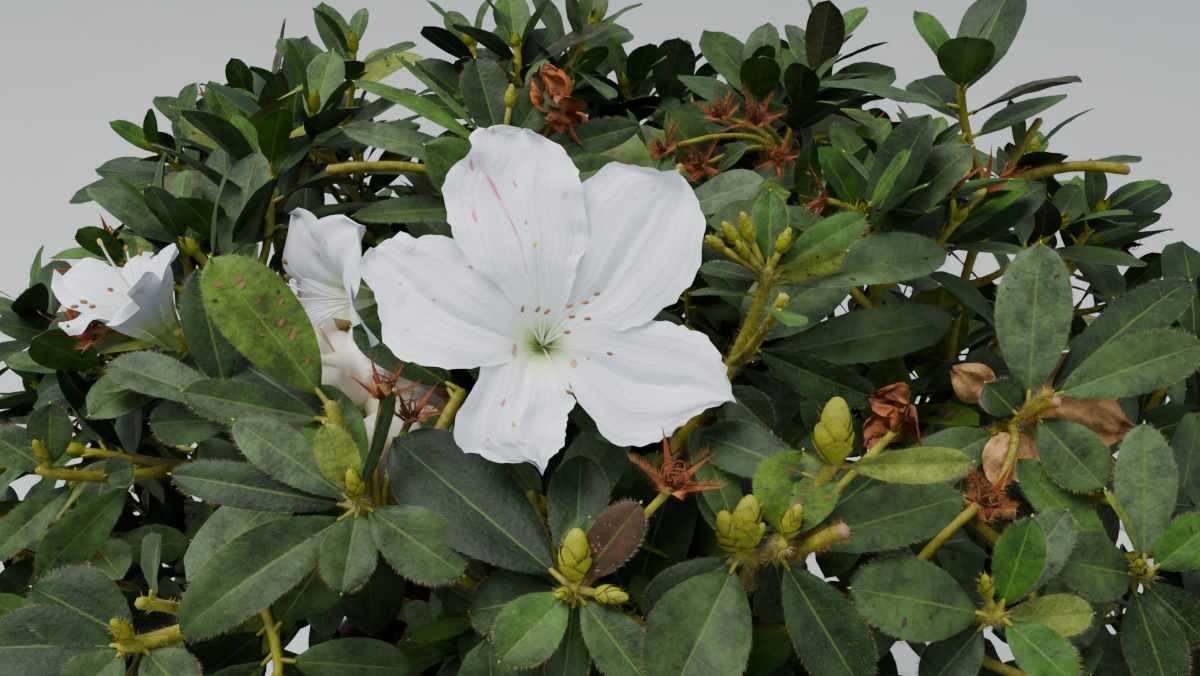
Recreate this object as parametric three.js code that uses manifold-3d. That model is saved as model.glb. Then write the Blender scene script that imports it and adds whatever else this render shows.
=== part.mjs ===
// A container-grown azalea shrub in flower: a nursery pot with its root ball, a short trunk,
// boughs, and masses of leafy twigs that bear open blooms. The origin is the middle of the
// pot's flat underside. Lengths are in millimetres, angles in degrees, and +Z is up.
import * as THREE from "three";
import { mergeVertices } from "three/addons/utils/BufferGeometryUtils.js";
import Module from "manifold-3d";

const wasm = await Module();
wasm.setup();

const GAP = 0.3; // between neighbouring solids
const TOLERANCE = 0.02; // shorter edges of joined solids are closed up
const UP = new THREE.Vector3(0, 0, 1);
const GOLDEN_ANGLE = 137.508;

// Driving sizes
const POT = {
  height: 240,
  footRadius: 110,
  bodyRadius: 132, // at the top, below the band
  wall: 2.4,
  floor: 3,
  bandHeight: 38,
  bandStep: 3,
  lipHeight: 9,
  lipStep: 4,
  ramp: 1, // height over which the band and the lip step out
  chamfer: 2,
  sides: 32,
};
const DRAIN = { count: 6, radius: 9, height: 4, length: 30, sides: 8 };
const SOIL = {
  drop: 22, // from the rim to the edge of the soil
  dome: 5,
  shoulder: 0.7, // share of the dome's height halfway out
  seatRadius: 40, // of the flat middle
};
const TRUNK = {
  flareRadius: 17,
  flareHeight: 16,
  radius: 12,
  topRadius: 8,
  height: 70,
  lean: 5,
  sides: 9,
  steps: 6,
};
const BOUGH = {
  rootRadius: 4.6,
  tipRadius: 3.6,
  share: 0.52, // of the way to the middle of its mass
  rise: 0.275, // of its bend over its root, as a share of its length
  reach: 0.225,
  sides: 6,
  steps: 4,
};
const CROWN = {
  centre: new THREE.Vector3(0, 0, 330),
  half: new THREE.Vector3(225, 205, 200),
  squareness: 2.7,
  limit: 1.12, // share of the reach that no leaf or petal passes
  lowest: -0.34, // rise of the lowest direction that bears a shoot
  shoots: 86,
  spacing: 35,
  turnSpread: 20,
  shallow: 0.94, // share of the reach where the outermost shoots end
  deep: 0.84,
  lift: 0.6, // how far a shoot turns up from the way out of the crown
  liftSpread: 0.4,
  bloomEvery: 8,
  bloomFirst: 4,
  seed: 3,
};
const TWIG = {
  radius: 1.6, // of a shoot that ends in one tip
  thicken: 0.45, // power of the number of tips that a twig feeds
  taper: 0.1,
  fork: 0.38, // least share of the way to the middle of its tips
  forkSpread: 0.08,
  bend: 0.5,
  arrival: 0.45, // share of a shoot's length that turns to its heading
  sunk: 0.8, // share of its radius that a twig starts behind its fork
  mostShoots: 3, // that leave one fork
  straight: 12, // length up to which a twig is one straight piece
  stemSides: 5,
  sides: 3,
  steps: 2,
};
const LEAF = {
  count: 5,
  length: 60,
  width: 33,
  thickness: 1,
  fold: 4,
  arch: 4,
  least: 0.84, // share of the size
  spread: 0.24,
  back: 3, // from the shoot's end to the first leaf
  apart: 4.5,
  lowest: 0.25, // share of the shoot's length below which no leaf stands
  lean: 44, // of the first leaf from the shoot
  leanStep: 9,
  leanSpread: 10,
  upward: 0.8, // how far a leaf's face turns up from the shoot's axis
  rootShare: 0.1, // may cross what is near the shoot
  // ways to try, one after the other: share of the size, degrees aside and share of the lean
  tries: [1, 0.75].flatMap((size) =>
    [0, 25, -25, 50, -50].flatMap((aside) => [1, 0.75, 0.5].map((ease) => [size, aside, ease])),
  ),
};
const BLOOM = {
  petals: 5,
  radius: 39, // to the petals' tips
  rise: 16, // of the petals' tips over the shoot's end
  notchRadius: 21,
  notchRise: 13,
  tipShift: -3, // turns the two points of a petal's tip towards each other, in degrees
  throat: 5, // of the throat's inside over the shoot's end
  sunk: 4,
  leaves: { count: 4, back: 9, lean: 66, leanStep: 6 },
};

// The masses of foliage stand in two rings round the trunk and one over it, and each keeps to the
// space that is nearer to its own middle than to any other.
const RINGS = [
  { name: "low", count: 7, radius: 150, height: 345, rootHeight: 27, rootStagger: 5 },
  { name: "high", count: 5, radius: 86, height: 455, rootHeight: 46, rootStagger: 4 },
  { name: "top", count: 1, radius: 0, height: 470, rootHeight: 66, rootStagger: 0 },
];
const CLEAR = { space: 1, limbs: 2, overPot: 2, besidePot: 4 };
const SAMPLES = { trunk: 10, bough: 16 };

// Shoots that stand out at the front of the crown. What a shoot bears is a bloom, leaves, or
// nothing where it has been cut back.
const SHOWN_SHOOTS = [
  { bears: "bloom", at: [-12, -80, 500], heading: [0.03, -0.8, 0.6] },
  { bears: "bloom", at: [-50, -42, 488], heading: [-0.75, -0.4, 0.5] },
  { bears: "bloom", at: [-116, -36, 482], heading: [-0.6, 0.1, 0.8] },
  { bears: "bloom", at: [-62, -84, 476], heading: [0.2, -0.55, 0.8] },
  { bears: "leaves", at: [37, -62, 508], heading: [0.1, 0, 1] },
  { bears: "leaves", at: [-48, -108, 484], heading: [0, -0.35, 0.94] },
  { bears: "leaves", at: [-5, -124, 476], heading: [0, -0.5, 0.87] },
  { bears: "leaves", at: [35, -117, 480], heading: [0.1, -0.45, 0.88] },
  { bears: "leaves", at: [78, -122, 466], heading: [0.2, -0.4, 0.9] },
  { bears: "leaves", at: [116, -106, 460], heading: [0.45, -0.3, 0.84] },
  { bears: "leaves", at: [98, -78, 486], heading: [0.25, -0.2, 0.95] },
  { bears: "leaves", at: [-26, -6, 512], heading: [-0.1, 0.1, 1] },
  { bears: "leaves", at: [60, 40, 506], heading: [0.15, 0.3, 0.94] },
  { bears: "leaves", at: [-98, -24, 494], heading: [-0.35, 0, 0.94] },
  { bears: "leaves", at: [-134, -72, 458], heading: [-0.75, -0.3, 0.6] },
  { bears: "leaves", at: [-96, -122, 456], heading: [-0.6, -0.5, 0.62] },
  { bears: "nothing", at: [118, 5, 514], heading: [0.45, 0.1, 0.88] },
];

// Random numbers from 0 to 1 that come out the same on every run.
function seeded(seed) {
  let state = seed;
  return () => {
    state = (state * 48271) % 2147483647;
    return state / 2147483647;
  };
}

const radians = THREE.MathUtils.degToRad;

function toVector([x, y, z]) {
  return new THREE.Vector3(x, y, z);
}

// A unit vector square to an axis, near the way that is asked for.
function squareTo(axis, wanted) {
  const flat = wanted.clone().addScaledVector(axis, -wanted.dot(axis));
  if (flat.length() < 1e-3) return squareTo(axis, new THREE.Vector3(1, 0, 0));
  return flat.normalize();
}

// Solids

// The closed solid of a geometry, once its shared vertices are merged and collapsed faces dropped.
function solidOf(geometry) {
  const bare = new THREE.BufferGeometry().setAttribute(
    "position",
    geometry.getAttribute("position"),
  );
  bare.setIndex(geometry.index);
  const merged = mergeVertices(bare, 1e-3);
  const faces = [];
  for (let i = 0; i < merged.index.count; i += 3) {
    const [a, b, c] = [0, 1, 2].map((k) => merged.index.getX(i + k));
    if (a !== b && b !== c && c !== a) faces.push(a, b, c);
  }
  const mesh = new wasm.Mesh({
    numProp: 3,
    vertProperties: new Float32Array(merged.attributes.position.array),
    triVerts: new Uint32Array(faces),
  });
  return new wasm.Manifold(mesh);
}

// The geometry of a solid.
function geometryOf(solid) {
  const { vertProperties, triVerts, numProp } = solid.getMesh();
  const positions = new Float32Array((vertProperties.length / numProp) * 3);
  for (let i = 0; i < positions.length / 3; i++) {
    positions.set(vertProperties.subarray(i * numProp, i * numProp + 3), i * 3);
  }
  return new THREE.BufferGeometry()
    .setAttribute("position", new THREE.BufferAttribute(positions, 3))
    .setIndex(new THREE.BufferAttribute(triVerts, 1));
}

// All solids joined into one. Loose scraps and sealed hollows are left out.
function fused(solids) {
  const joined = solids.reduce((all, next) => all.add(next));
  let bodies = [joined.setTolerance(TOLERANCE)];
  do {
    const largest = bodies.reduce((best, next) => (next.volume() > best.volume() ? next : best));
    bodies = solidOf(geometryOf(largest)).decompose();
  } while (bodies.length > 1);
  return bodies[0];
}

function meshOf(name, solid, material) {
  const geometry = geometryOf(solid);
  geometry.computeVertexNormals();
  const mesh = new THREE.Mesh(geometry, material);
  mesh.name = name;
  return mesh;
}

// Moves every vertex of a geometry to the place that a function gives for it.
function reshape(geometry, place) {
  const position = geometry.getAttribute("position");
  for (let i = 0; i < position.count; i++) {
    const at = place(new THREE.Vector3().fromBufferAttribute(position, i));
    position.setXYZ(i, at.x, at.y, at.z);
  }
  return geometry;
}

// A closed limb along a curve: a cylinder whose rings are carried to points of the curve. The
// turn sets where its edges lie.
function limb(curve, radiusAt, sides, steps, turn = 0) {
  const frames = curve.computeFrenetFrames(steps, false);
  const cylinder = new THREE.CylinderGeometry(1, 1, 1, sides, steps).rotateY(turn);
  return solidOf(
    reshape(cylinder, ({ x, y, z }) => {
      const step = Math.round((y + 0.5) * steps);
      const radius = radiusAt(step / steps);
      return curve
        .getPointAt(step / steps)
        .addScaledVector(frames.normals[step], x * radius)
        .addScaledVector(frames.binormals[step], -z * radius);
    }),
  );
}

// A solid turned round +Z from its outline, given as [radius, height] points.
function turned(outline, sides) {
  const points = outline.map(([radius, height]) => new THREE.Vector2(radius, height));
  return solidOf(new THREE.LatheGeometry(points, sides).rotateX(Math.PI / 2));
}

// Pot and root ball

// The pot's outer radius at a height, with the wider band below the rim and the lip on it.
function potRadius(height) {
  const share = height / POT.height;
  const body = POT.footRadius + (POT.bodyRadius - POT.footRadius) * share;
  const band = height >= POT.height - POT.bandHeight ? POT.bandStep : 0;
  const lip = height >= POT.height - POT.lipHeight ? POT.lipStep : 0;
  return body + band + lip;
}

// The inner face of the pot's wall, which is plain from the floor to the rim.
function innerRadius(height) {
  const share = height / POT.height;
  return POT.footRadius + (POT.bodyRadius - POT.footRadius) * share - POT.wall;
}

function potSolid() {
  const band = POT.height - POT.bandHeight;
  const lip = POT.height - POT.lipHeight;
  const outline = [
    [0, 0],
    [potRadius(0), 0],
    [potRadius(band - POT.ramp), band - POT.ramp],
    [potRadius(band), band],
    [potRadius(lip - POT.ramp), lip - POT.ramp],
    [potRadius(lip), lip],
    [potRadius(lip), POT.height - POT.chamfer],
    [potRadius(lip) - POT.chamfer, POT.height],
    [innerRadius(POT.height), POT.height],
    [innerRadius(POT.floor), POT.floor],
    [0, POT.floor],
  ];
  let pot = turned(outline, POT.sides);
  for (let i = 0; i < DRAIN.count; i++) {
    const { radius, length, sides } = DRAIN;
    const bore = new THREE.CylinderGeometry(radius, radius, length, sides).rotateZ(Math.PI / 2);
    bore.translate(POT.footRadius, 0, DRAIN.height + DRAIN.radius);
    bore.rotateZ(radians((360 * (i + 0.5)) / DRAIN.count));
    pot = pot.subtract(solidOf(bore));
  }
  return pot;
}

function soilSolid() {
  const edge = POT.height - SOIL.drop;
  const outline = [
    [0, POT.floor + GAP],
    [innerRadius(POT.floor) - GAP, POT.floor + GAP],
    [innerRadius(edge) - GAP, edge],
    [(innerRadius(edge) + SOIL.seatRadius) / 2, edge + SOIL.dome * SOIL.shoulder],
    [SOIL.seatRadius, edge + SOIL.dome],
    [0, edge + SOIL.dome],
  ];
  return turned(outline, POT.sides);
}

// Trunk and boughs

const GROUND = POT.height - SOIL.drop + SOIL.dome + GAP;

function trunkCurve() {
  return new THREE.QuadraticBezierCurve3(
    new THREE.Vector3(0, 0, GROUND),
    new THREE.Vector3(0, 0, GROUND + TRUNK.height / 2),
    new THREE.Vector3(TRUNK.lean, 0, GROUND + TRUNK.height),
  );
}

function trunkRadius(share) {
  const height = share * TRUNK.height;
  const flare = Math.max(0, 1 - height / TRUNK.flareHeight);
  const taper = TRUNK.radius + (TRUNK.topRadius - TRUNK.radius) * share;
  return taper + (TRUNK.flareRadius - TRUNK.radius) * flare * flare;
}

function trunkSolid(grow = 0) {
  const radiusAt = (share) => trunkRadius(share) + grow;
  return limb(trunkCurve(), radiusAt, TRUNK.sides, TRUNK.steps);
}

// One entry for each mass of foliage, with the bough that carries it.
function layOutMasses() {
  const trunk = trunkCurve();
  return RINGS.flatMap((ring) =>
    Array.from({ length: ring.count }, (_, i) => {
      const turn = radians(-90 + (360 * i) / ring.count);
      const out = new THREE.Vector3(Math.cos(turn), Math.sin(turn), 0);
      const middle = out.clone().multiplyScalar(ring.radius).setZ(ring.height);
      const rootHeight = ring.rootHeight + ring.rootStagger * ((i % 2) * 2 - 1);
      const root = trunk.getPoint(rootHeight / TRUNK.height);
      const tip = root.clone().lerp(middle, BOUGH.share);
      const length = tip.distanceTo(root);
      const bend = root
        .clone()
        .addScaledVector(UP, length * BOUGH.rise)
        .addScaledVector(out, length * BOUGH.reach);
      const curve = new THREE.QuadraticBezierCurve3(root, bend, tip);
      const name = ring.count > 1 ? `${ring.name}_${i + 1}` : ring.name;
      return { name, middle, curve, tips: [] };
    }),
  );
}

function boughRadius(share) {
  return BOUGH.rootRadius + (BOUGH.tipRadius - BOUGH.rootRadius) * share;
}

function boughSolid(mass, grownTrunk) {
  return limb(mass.curve, boughRadius, BOUGH.sides, BOUGH.steps).subtract(grownTrunk);
}

// Where shoots end

// How far out a point lies, as a share of the crown's reach in its direction.
function reachOf(point) {
  const { centre, half, squareness } = CROWN;
  const out = point.clone().sub(centre).divide(half);
  const powers = [out.x, out.y, out.z].map((value) => Math.abs(value) ** squareness);
  return (powers[0] + powers[1] + powers[2]) ** (1 / squareness);
}

function shootTips() {
  const random = seeded(CROWN.seed);
  const tips = SHOWN_SHOOTS.map(({ bears, at, heading }) => ({
    bears,
    at: toVector(at),
    heading: toVector(heading).normalize(),
  }));
  for (let i = 0; i < CROWN.shoots; i++) {
    const rise = 1 - ((1 - CROWN.lowest) * (i + 0.5)) / CROWN.shoots;
    const turn = radians(i * GOLDEN_ANGLE + CROWN.turnSpread * random());
    const level = Math.sqrt(1 - rise * rise);
    const way = new THREE.Vector3(level * Math.cos(turn), level * Math.sin(turn), rise);
    const share = CROWN.deep + (CROWN.shallow - CROWN.deep) * random();
    const reach = share / reachOf(CROWN.centre.clone().add(way));
    const at = CROWN.centre.clone().addScaledVector(way, reach);
    const lift = CROWN.lift + CROWN.liftSpread * random();
    const heading = way.clone().addScaledVector(UP, lift).normalize();
    const bears = i % CROWN.bloomEvery === CROWN.bloomFirst ? "bloom" : "leaves";
    if (tips.every((tip) => tip.at.distanceTo(at) > CROWN.spacing)) {
      tips.push({ bears, at, heading });
    }
  }
  return tips;
}

// Twigs

// A twig from base to its end: count is how many tips it feeds.
function twig(base, bend, end, count) {
  return { curve: new THREE.QuadraticBezierCurve3(base, bend, end), count };
}

function average(points) {
  const sum = points.reduce((all, point) => all.add(point), new THREE.Vector3());
  return sum.divideScalar(points.length);
}

// Deals tips into groups by their turn round an axis.
function dealRound(tips, base, axis, groups) {
  const first = squareTo(axis, UP);
  const second = new THREE.Vector3().crossVectors(axis, first);
  const turnOf = (tip) => {
    const out = tip.at.clone().sub(base);
    return Math.atan2(out.dot(second), out.dot(first));
  };
  const sorted = [...tips].sort((a, b) => turnOf(a) - turnOf(b));
  return Array.from({ length: groups }, (_, i) => {
    const from = Math.round((i * sorted.length) / groups);
    return sorted.slice(from, Math.round(((i + 1) * sorted.length) / groups));
  });
}

// The twigs from a base to its tips. A twig runs towards the middle of its tips and forks, until
// every tip has a shoot of its own.
function branch(base, heading, tips, random) {
  if (tips.length === 1) {
    const [tip] = tips;
    const length = tip.at.distanceTo(base);
    const bend = tip.at.clone().addScaledVector(tip.heading, -TWIG.arrival * length);
    return [{ ...twig(base, bend, tip.at, 1), tip }];
  }
  const middle = average(tips.map((tip) => tip.at));
  const share = TWIG.fork + TWIG.forkSpread * random();
  const end = base.clone().lerp(middle, share);
  const bend = base.clone().addScaledVector(heading, TWIG.bend * end.distanceTo(base));
  const onward = end.clone().sub(bend).normalize();
  const groups = tips.length <= TWIG.mostShoots ? tips.length : 2 + Math.round(random());
  return [
    twig(base, bend, end, tips.length),
    ...dealRound(tips, end, onward, groups).flatMap((group) =>
      branch(end, onward, group, random),
    ),
  ];
}

function twigRadius(count) {
  return TWIG.radius * count ** TWIG.thicken;
}

// The solid of the twig with the given number in its mass. The first is the mass's stem.
function twigSolid({ curve, count }, number) {
  const length = curve.getLength();
  const radius = twigRadius(count);
  const isStem = number === 0;
  const sides = isStem ? TWIG.stemSides : TWIG.sides;
  const start = curve.v0
    .clone()
    .addScaledVector(curve.getTangent(0), isStem ? GAP : -TWIG.sunk * radius);
  const drawn = new THREE.QuadraticBezierCurve3(start, curve.v1, curve.v2);
  const radiusAt = (share) => radius * (1 - TWIG.taper * share);
  const steps = length > TWIG.straight ? TWIG.steps : 1;
  return limb(drawn, radiusAt, sides, steps, radians(number * GOLDEN_ANGLE));
}

// Leaves and blooms

// A leaf from its root: an octahedron drawn out to the tip, folded up along its middle and arched.
function leafGeometry({ root, way, face, length, width }) {
  const side = new THREE.Vector3().crossVectors(way, face);
  return reshape(new THREE.OctahedronGeometry(1), ({ x, y, z }) => {
    const along = length * (0.5 + 0.5 * y);
    const lift = LEAF.fold * Math.abs(x) + LEAF.arch * (1 - y * y) + (LEAF.thickness / 2) * z;
    return root
      .clone()
      .addScaledVector(way, along)
      .addScaledVector(side, (width / 2) * x)
      .addScaledVector(face, lift);
  });
}

// An open bloom on a shoot's tip: a funnel whose rim is drawn out into petals. Each petal takes
// three of the rim's points: one in the notch before it and two at its blunt tip.
function bloomGeometry({ at, heading }, turn) {
  const first = squareTo(heading, UP).applyAxisAngle(heading, radians(turn));
  const second = new THREE.Vector3().crossVectors(heading, first);
  const points = 3 * BLOOM.petals;
  return reshape(new THREE.SphereGeometry(1, points, 2), ({ x, y, z }) => {
    const isRim = Math.hypot(x, z) > 0.5;
    if (!isRim) {
      return at.clone().addScaledVector(heading, y > 0 ? BLOOM.throat : -BLOOM.sunk);
    }
    const place = Math.round((Math.atan2(z, -x) / (2 * Math.PI)) * points) + points;
    const isNotch = place % 3 === 0;
    const aside = isNotch ? 0 : (place % 3 === 1 ? 1 : -1) * BLOOM.tipShift;
    const angle = radians((360 * place) / points + aside);
    const radius = isNotch ? BLOOM.notchRadius : BLOOM.radius;
    return at
      .clone()
      .addScaledVector(heading, isNotch ? BLOOM.notchRise : BLOOM.rise)
      .addScaledVector(first, radius * Math.cos(angle))
      .addScaledVector(second, radius * Math.sin(angle));
  });
}

// The leaves of a shoot stand round its end in a spiral, lying further back the lower they are.
// Each comes as a list of ways to try, from its own to closer along the shoot.
function leavesOf({ curve, tip }, random) {
  const length = curve.getLength();
  const { count, back, lean, leanStep } = tip.bears === "bloom" ? BLOOM.leaves : LEAF;
  const turn = 360 * random();
  if (tip.bears === "nothing") return [];
  return Array.from({ length: count }, (_, i) => {
    const place = Math.max(LEAF.lowest, 1 - (back + LEAF.apart * i) / length);
    const root = curve.getPoint(place);
    const axis = curve.getTangent(place);
    const fullPitch = lean + leanStep * i + LEAF.leanSpread * random();
    const size = LEAF.least + LEAF.spread * random();
    return LEAF.tries.map(([share, aside, ease]) => {
      const azimuth = radians(turn + i * GOLDEN_ANGLE + aside);
      const out = squareTo(axis, UP).applyAxisAngle(axis, azimuth);
      const pitch = radians(fullPitch * ease);
      const way = axis
        .clone()
        .multiplyScalar(Math.cos(pitch))
        .addScaledVector(out, Math.sin(pitch));
      const face = squareTo(way, axis.clone().addScaledVector(UP, LEAF.upward));
      const scale = size * share;
      return { root, way, face, length: LEAF.length * scale, width: LEAF.width * scale };
    });
  });
}

// The part of a leaf that has to stay clear of the other twigs and leaves of its mass.
function bladeOf(leaf) {
  const start = LEAF.rootShare * leaf.length;
  const root = leaf.root.clone().addScaledVector(leaf.way, start);
  return solidOf(leafGeometry({ ...leaf, root, length: leaf.length - start }));
}

// Masses

// Points that have to be clear of everything outside the mass: a geometry's own corners and the
// points a third of the way between them.
function probesOf(geometry) {
  const position = geometry.getAttribute("position");
  const corners = Array.from({ length: position.count }, (_, i) =>
    new THREE.Vector3().fromBufferAttribute(position, i),
  );
  const middle = average(corners);
  return corners.flatMap((corner) => [
    corner,
    corner.clone().lerp(middle, 1 / 3),
    corner.clone().lerp(middle, 2 / 3),
  ]);
}

// A test for one mass: whether a point is in its space and clear of limbs and pot.
function spaceOf(mass, masses, limbs) {
  return (point) => {
    const inSpace = masses.every((other) => {
      if (other === mass) return true;
      const apart = other.middle.distanceTo(mass.middle);
      const nearer = point.distanceToSquared(other.middle) - point.distanceToSquared(mass.middle);
      return nearer / (2 * apart) > CLEAR.space;
    });
    const offLimbs = limbs.every(({ at, radius }) => point.distanceTo(at) > radius + CLEAR.limbs);
    const out = Math.hypot(point.x, point.y);
    const overPot = point.z > POT.height + CLEAR.overPot;
    const offPot = overPot || out > potRadius(POT.height) + CLEAR.besidePot;
    return inSpace && offLimbs && offPot && reachOf(point) < CROWN.limit;
  };
}

// Points along a limb's middle with the limb's radius there.
function limbSamples(curve, radiusAt, count) {
  return Array.from({ length: count + 1 }, (_, i) => ({
    at: curve.getPoint(i / count),
    radius: radiusAt(i / count),
  }));
}

// Whether a solid is clear of all others in a list.
function isClear(solid, others) {
  const { min, max } = solid.boundingBox();
  return others.every(({ box, solid: other }) => {
    const apart = [0, 1, 2].some((k) => box.max[k] < min[k] || max[k] < box.min[k]);
    return apart || solid.intersect(other).isEmpty();
  });
}

function massSolid(mass, isFree, seed) {
  const random = seeded(seed);
  const base = mass.curve.v2;
  const heading = mass.curve.getTangent(1);
  const twigs = branch(base, heading, mass.tips, random);
  const pieces = [];
  const place = (solid) => pieces.push({ solid, box: solid.boundingBox() });
  twigs.forEach((each, i) => place(twigSolid(each, i)));
  const shoots = twigs.filter(({ tip }) => tip);
  for (const { tip } of shoots.filter(({ tip }) => tip.bears === "bloom")) {
    const bloom = bloomGeometry(tip, (360 / BLOOM.petals) * random());
    if (probesOf(bloom).every(isFree)) place(solidOf(bloom));
  }
  for (const shoot of shoots) {
    for (const choices of leavesOf(shoot, random)) {
      const fits = (leaf) =>
        probesOf(leafGeometry(leaf)).every(isFree) && isClear(bladeOf(leaf), pieces);
      const leaf = choices.find(fits);
      if (leaf) place(solidOf(leafGeometry(leaf)));
    }
  }
  return fused(pieces.map(({ solid }) => solid));
}

// Materials

function material(color, roughness) {
  return new THREE.MeshStandardMaterial({ color, roughness, metalness: 0 });
}

const MATERIALS = {
  pot: material(0x5a2238, 0.35),
  soil: material(0x6b4528, 0.95),
  bark: material(0x6e5a3a, 0.85),
  foliage: material(0x3f6b3a, 0.6),
};

// The shrub in its pot

function buildShrub() {
  const masses = layOutMasses();
  for (const tip of shootTips()) {
    const away = (mass) => mass.middle.distanceTo(tip.at);
    masses.reduce((best, next) => (away(next) < away(best) ? next : best)).tips.push(tip);
  }
  const limbs = [
    ...limbSamples(trunkCurve(), trunkRadius, SAMPLES.trunk),
    ...masses.flatMap(({ curve }) => limbSamples(curve, boughRadius, SAMPLES.bough).slice(0, -1)),
  ];
  const shrub = new THREE.Group();
  shrub.add(meshOf("pot", potSolid(), MATERIALS.pot));
  shrub.add(meshOf("root_ball", soilSolid(), MATERIALS.soil));
  shrub.add(meshOf("trunk", trunkSolid(), MATERIALS.bark));
  const grownTrunk = trunkSolid(GAP);
  masses.forEach((mass, i) => {
    const isFree = spaceOf(mass, masses, limbs);
    const foliage = massSolid(mass, isFree, CROWN.seed + 1 + i);
    shrub.add(meshOf(`bough_${mass.name}`, boughSolid(mass, grownTrunk), MATERIALS.bark));
    shrub.add(meshOf(`foliage_${mass.name}`, foliage, MATERIALS.foliage));
  });
  return shrub;
}

export default buildShrub();
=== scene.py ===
"""Dresses an azalea shrub in a nursery pot: bark, shoots, hairy leaves, open and spent blooms,
a glossy pot and its bark mix. The plant grows by the same seeded rule as its solids.
Lengths are in millimetres until a piece is made, which turns them into metres."""

import math

import bmesh
import bpy
import numpy as np
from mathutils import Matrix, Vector, kdtree, noise


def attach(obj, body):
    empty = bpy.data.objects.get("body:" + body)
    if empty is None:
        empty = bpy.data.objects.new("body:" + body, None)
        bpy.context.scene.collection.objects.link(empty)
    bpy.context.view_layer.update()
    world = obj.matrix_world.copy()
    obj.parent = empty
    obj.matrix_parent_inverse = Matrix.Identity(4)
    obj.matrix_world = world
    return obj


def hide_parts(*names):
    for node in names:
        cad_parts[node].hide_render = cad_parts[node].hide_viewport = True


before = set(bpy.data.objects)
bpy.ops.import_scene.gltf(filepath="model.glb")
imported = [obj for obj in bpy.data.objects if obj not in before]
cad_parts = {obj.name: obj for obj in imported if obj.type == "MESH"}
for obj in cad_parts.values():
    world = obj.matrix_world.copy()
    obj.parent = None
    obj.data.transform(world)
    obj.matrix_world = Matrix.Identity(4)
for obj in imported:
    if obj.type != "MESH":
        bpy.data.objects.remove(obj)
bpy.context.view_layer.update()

MM = 0.001
UP = np.array((0.0, 0.0, 1.0))
GOLDEN_ANGLE = 137.508

# Driving sizes of the pot, trunk and boughs, as in the solids
POT_HEIGHT = 240
POT_FOOT = 110
POT_BODY = 132
POT_WALL = 2.4
POT_FLOOR = 3
BAND_HEIGHT = 38
BAND_STEP = 3
LIP_HEIGHT = 9
LIP_STEP = 4
DRAIN_COUNT = 6
DRAIN_RADIUS = 9
DRAIN_HEIGHT = 4
SOIL_DROP = 22
SOIL_DOME = 5
CHIPS = 2100
GAP = 0.3
GROUND = POT_HEIGHT - SOIL_DROP + SOIL_DOME + GAP
TRUNK_HEIGHT = 70
TRUNK_LEAN = 5
TRUNK_RADIUS = 12
TRUNK_TOP = 8
FLARE_RADIUS = 17
FLARE_HEIGHT = 16
BOUGH_ROOT = 4.6
BOUGH_TIP = 3.6
BOUGH_SHARE = 0.52
BOUGH_RISE = 0.275
BOUGH_REACH = 0.225

# The crown, its masses and its shoots, as in the solids
CROWN_CENTRE = np.array((0.0, 0.0, 330.0))
CROWN_HALF = np.array((225.0, 205.0, 200.0))
SQUARENESS = 2.7
REACH_LIMIT = 1.12
LOWEST = -0.34
SHOOTS = 86
SPACING = 35
TURN_SPREAD = 20
SHALLOW = 0.94
DEEP = 0.84
LIFT = 0.6
LIFT_SPREAD = 0.4
BLOOM_EVERY = 8
BLOOM_FIRST = 4
SEED = 3
TWIG_RADIUS = 1.6
THICKEN = 0.45
TAPER = 0.1
FORK = 0.38
FORK_SPREAD = 0.08
TWIG_BEND = 0.5
ARRIVAL = 0.45
MOST_SHOOTS = 3
RINGS = (
    {"name": "low", "count": 7, "radius": 150, "height": 345, "root": 27, "stagger": 5},
    {"name": "high", "count": 5, "radius": 86, "height": 455, "root": 46, "stagger": 4},
    {"name": "top", "count": 1, "radius": 0, "height": 470, "root": 66, "stagger": 0},
)

# Shoots that stand out at the front of the crown, as in the solids
SHOWN_SHOOTS = (
    ("bloom", (-12, -80, 500), (0.03, -0.8, 0.6)),
    ("bloom", (-50, -42, 488), (-0.75, -0.4, 0.5)),
    ("bloom", (-116, -36, 482), (-0.6, 0.1, 0.8)),
    ("bloom", (-62, -84, 476), (0.2, -0.55, 0.8)),
    ("leaves", (37, -62, 508), (0.1, 0, 1)),
    ("leaves", (-48, -108, 484), (0, -0.35, 0.94)),
    ("leaves", (-5, -124, 476), (0, -0.5, 0.87)),
    ("leaves", (35, -117, 480), (0.1, -0.45, 0.88)),
    ("leaves", (78, -122, 466), (0.2, -0.4, 0.9)),
    ("leaves", (116, -106, 460), (0.45, -0.3, 0.84)),
    ("leaves", (98, -78, 486), (0.25, -0.2, 0.95)),
    ("leaves", (-26, -6, 512), (-0.1, 0.1, 1)),
    ("leaves", (60, 40, 506), (0.15, 0.3, 0.94)),
    ("leaves", (-98, -24, 494), (-0.35, 0, 0.94)),
    ("leaves", (-134, -72, 458), (-0.75, -0.3, 0.6)),
    ("leaves", (-96, -122, 456), (-0.6, -0.5, 0.62)),
    ("nothing", (118, 5, 514), (0.45, 0.1, 0.88)),
)

# Seeds and pieces of the dressed plant
DRAW_SEED = 7000
DRAW_SEED_STEP = 131
HAIR_SEED = 90
CHIP_SEED = 41
MASS_PIECES = ("leaves", "shoots", "hairs", "buds", "petals", "stamens")

# How finely the round pieces are divided
TRUNK_STEPS = 56
TRUNK_SIDES = 44
BOUGH_STEPS = 44
BOUGH_SIDES = 20
TWIG_STEPS = 12
TWIG_SIDES = 10
POT_SIDES = 144
SOIL_RINGS = 26
SOIL_SIDES = 96
SPOT_SIDES = 7
FLECK_SIDES = 10

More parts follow.
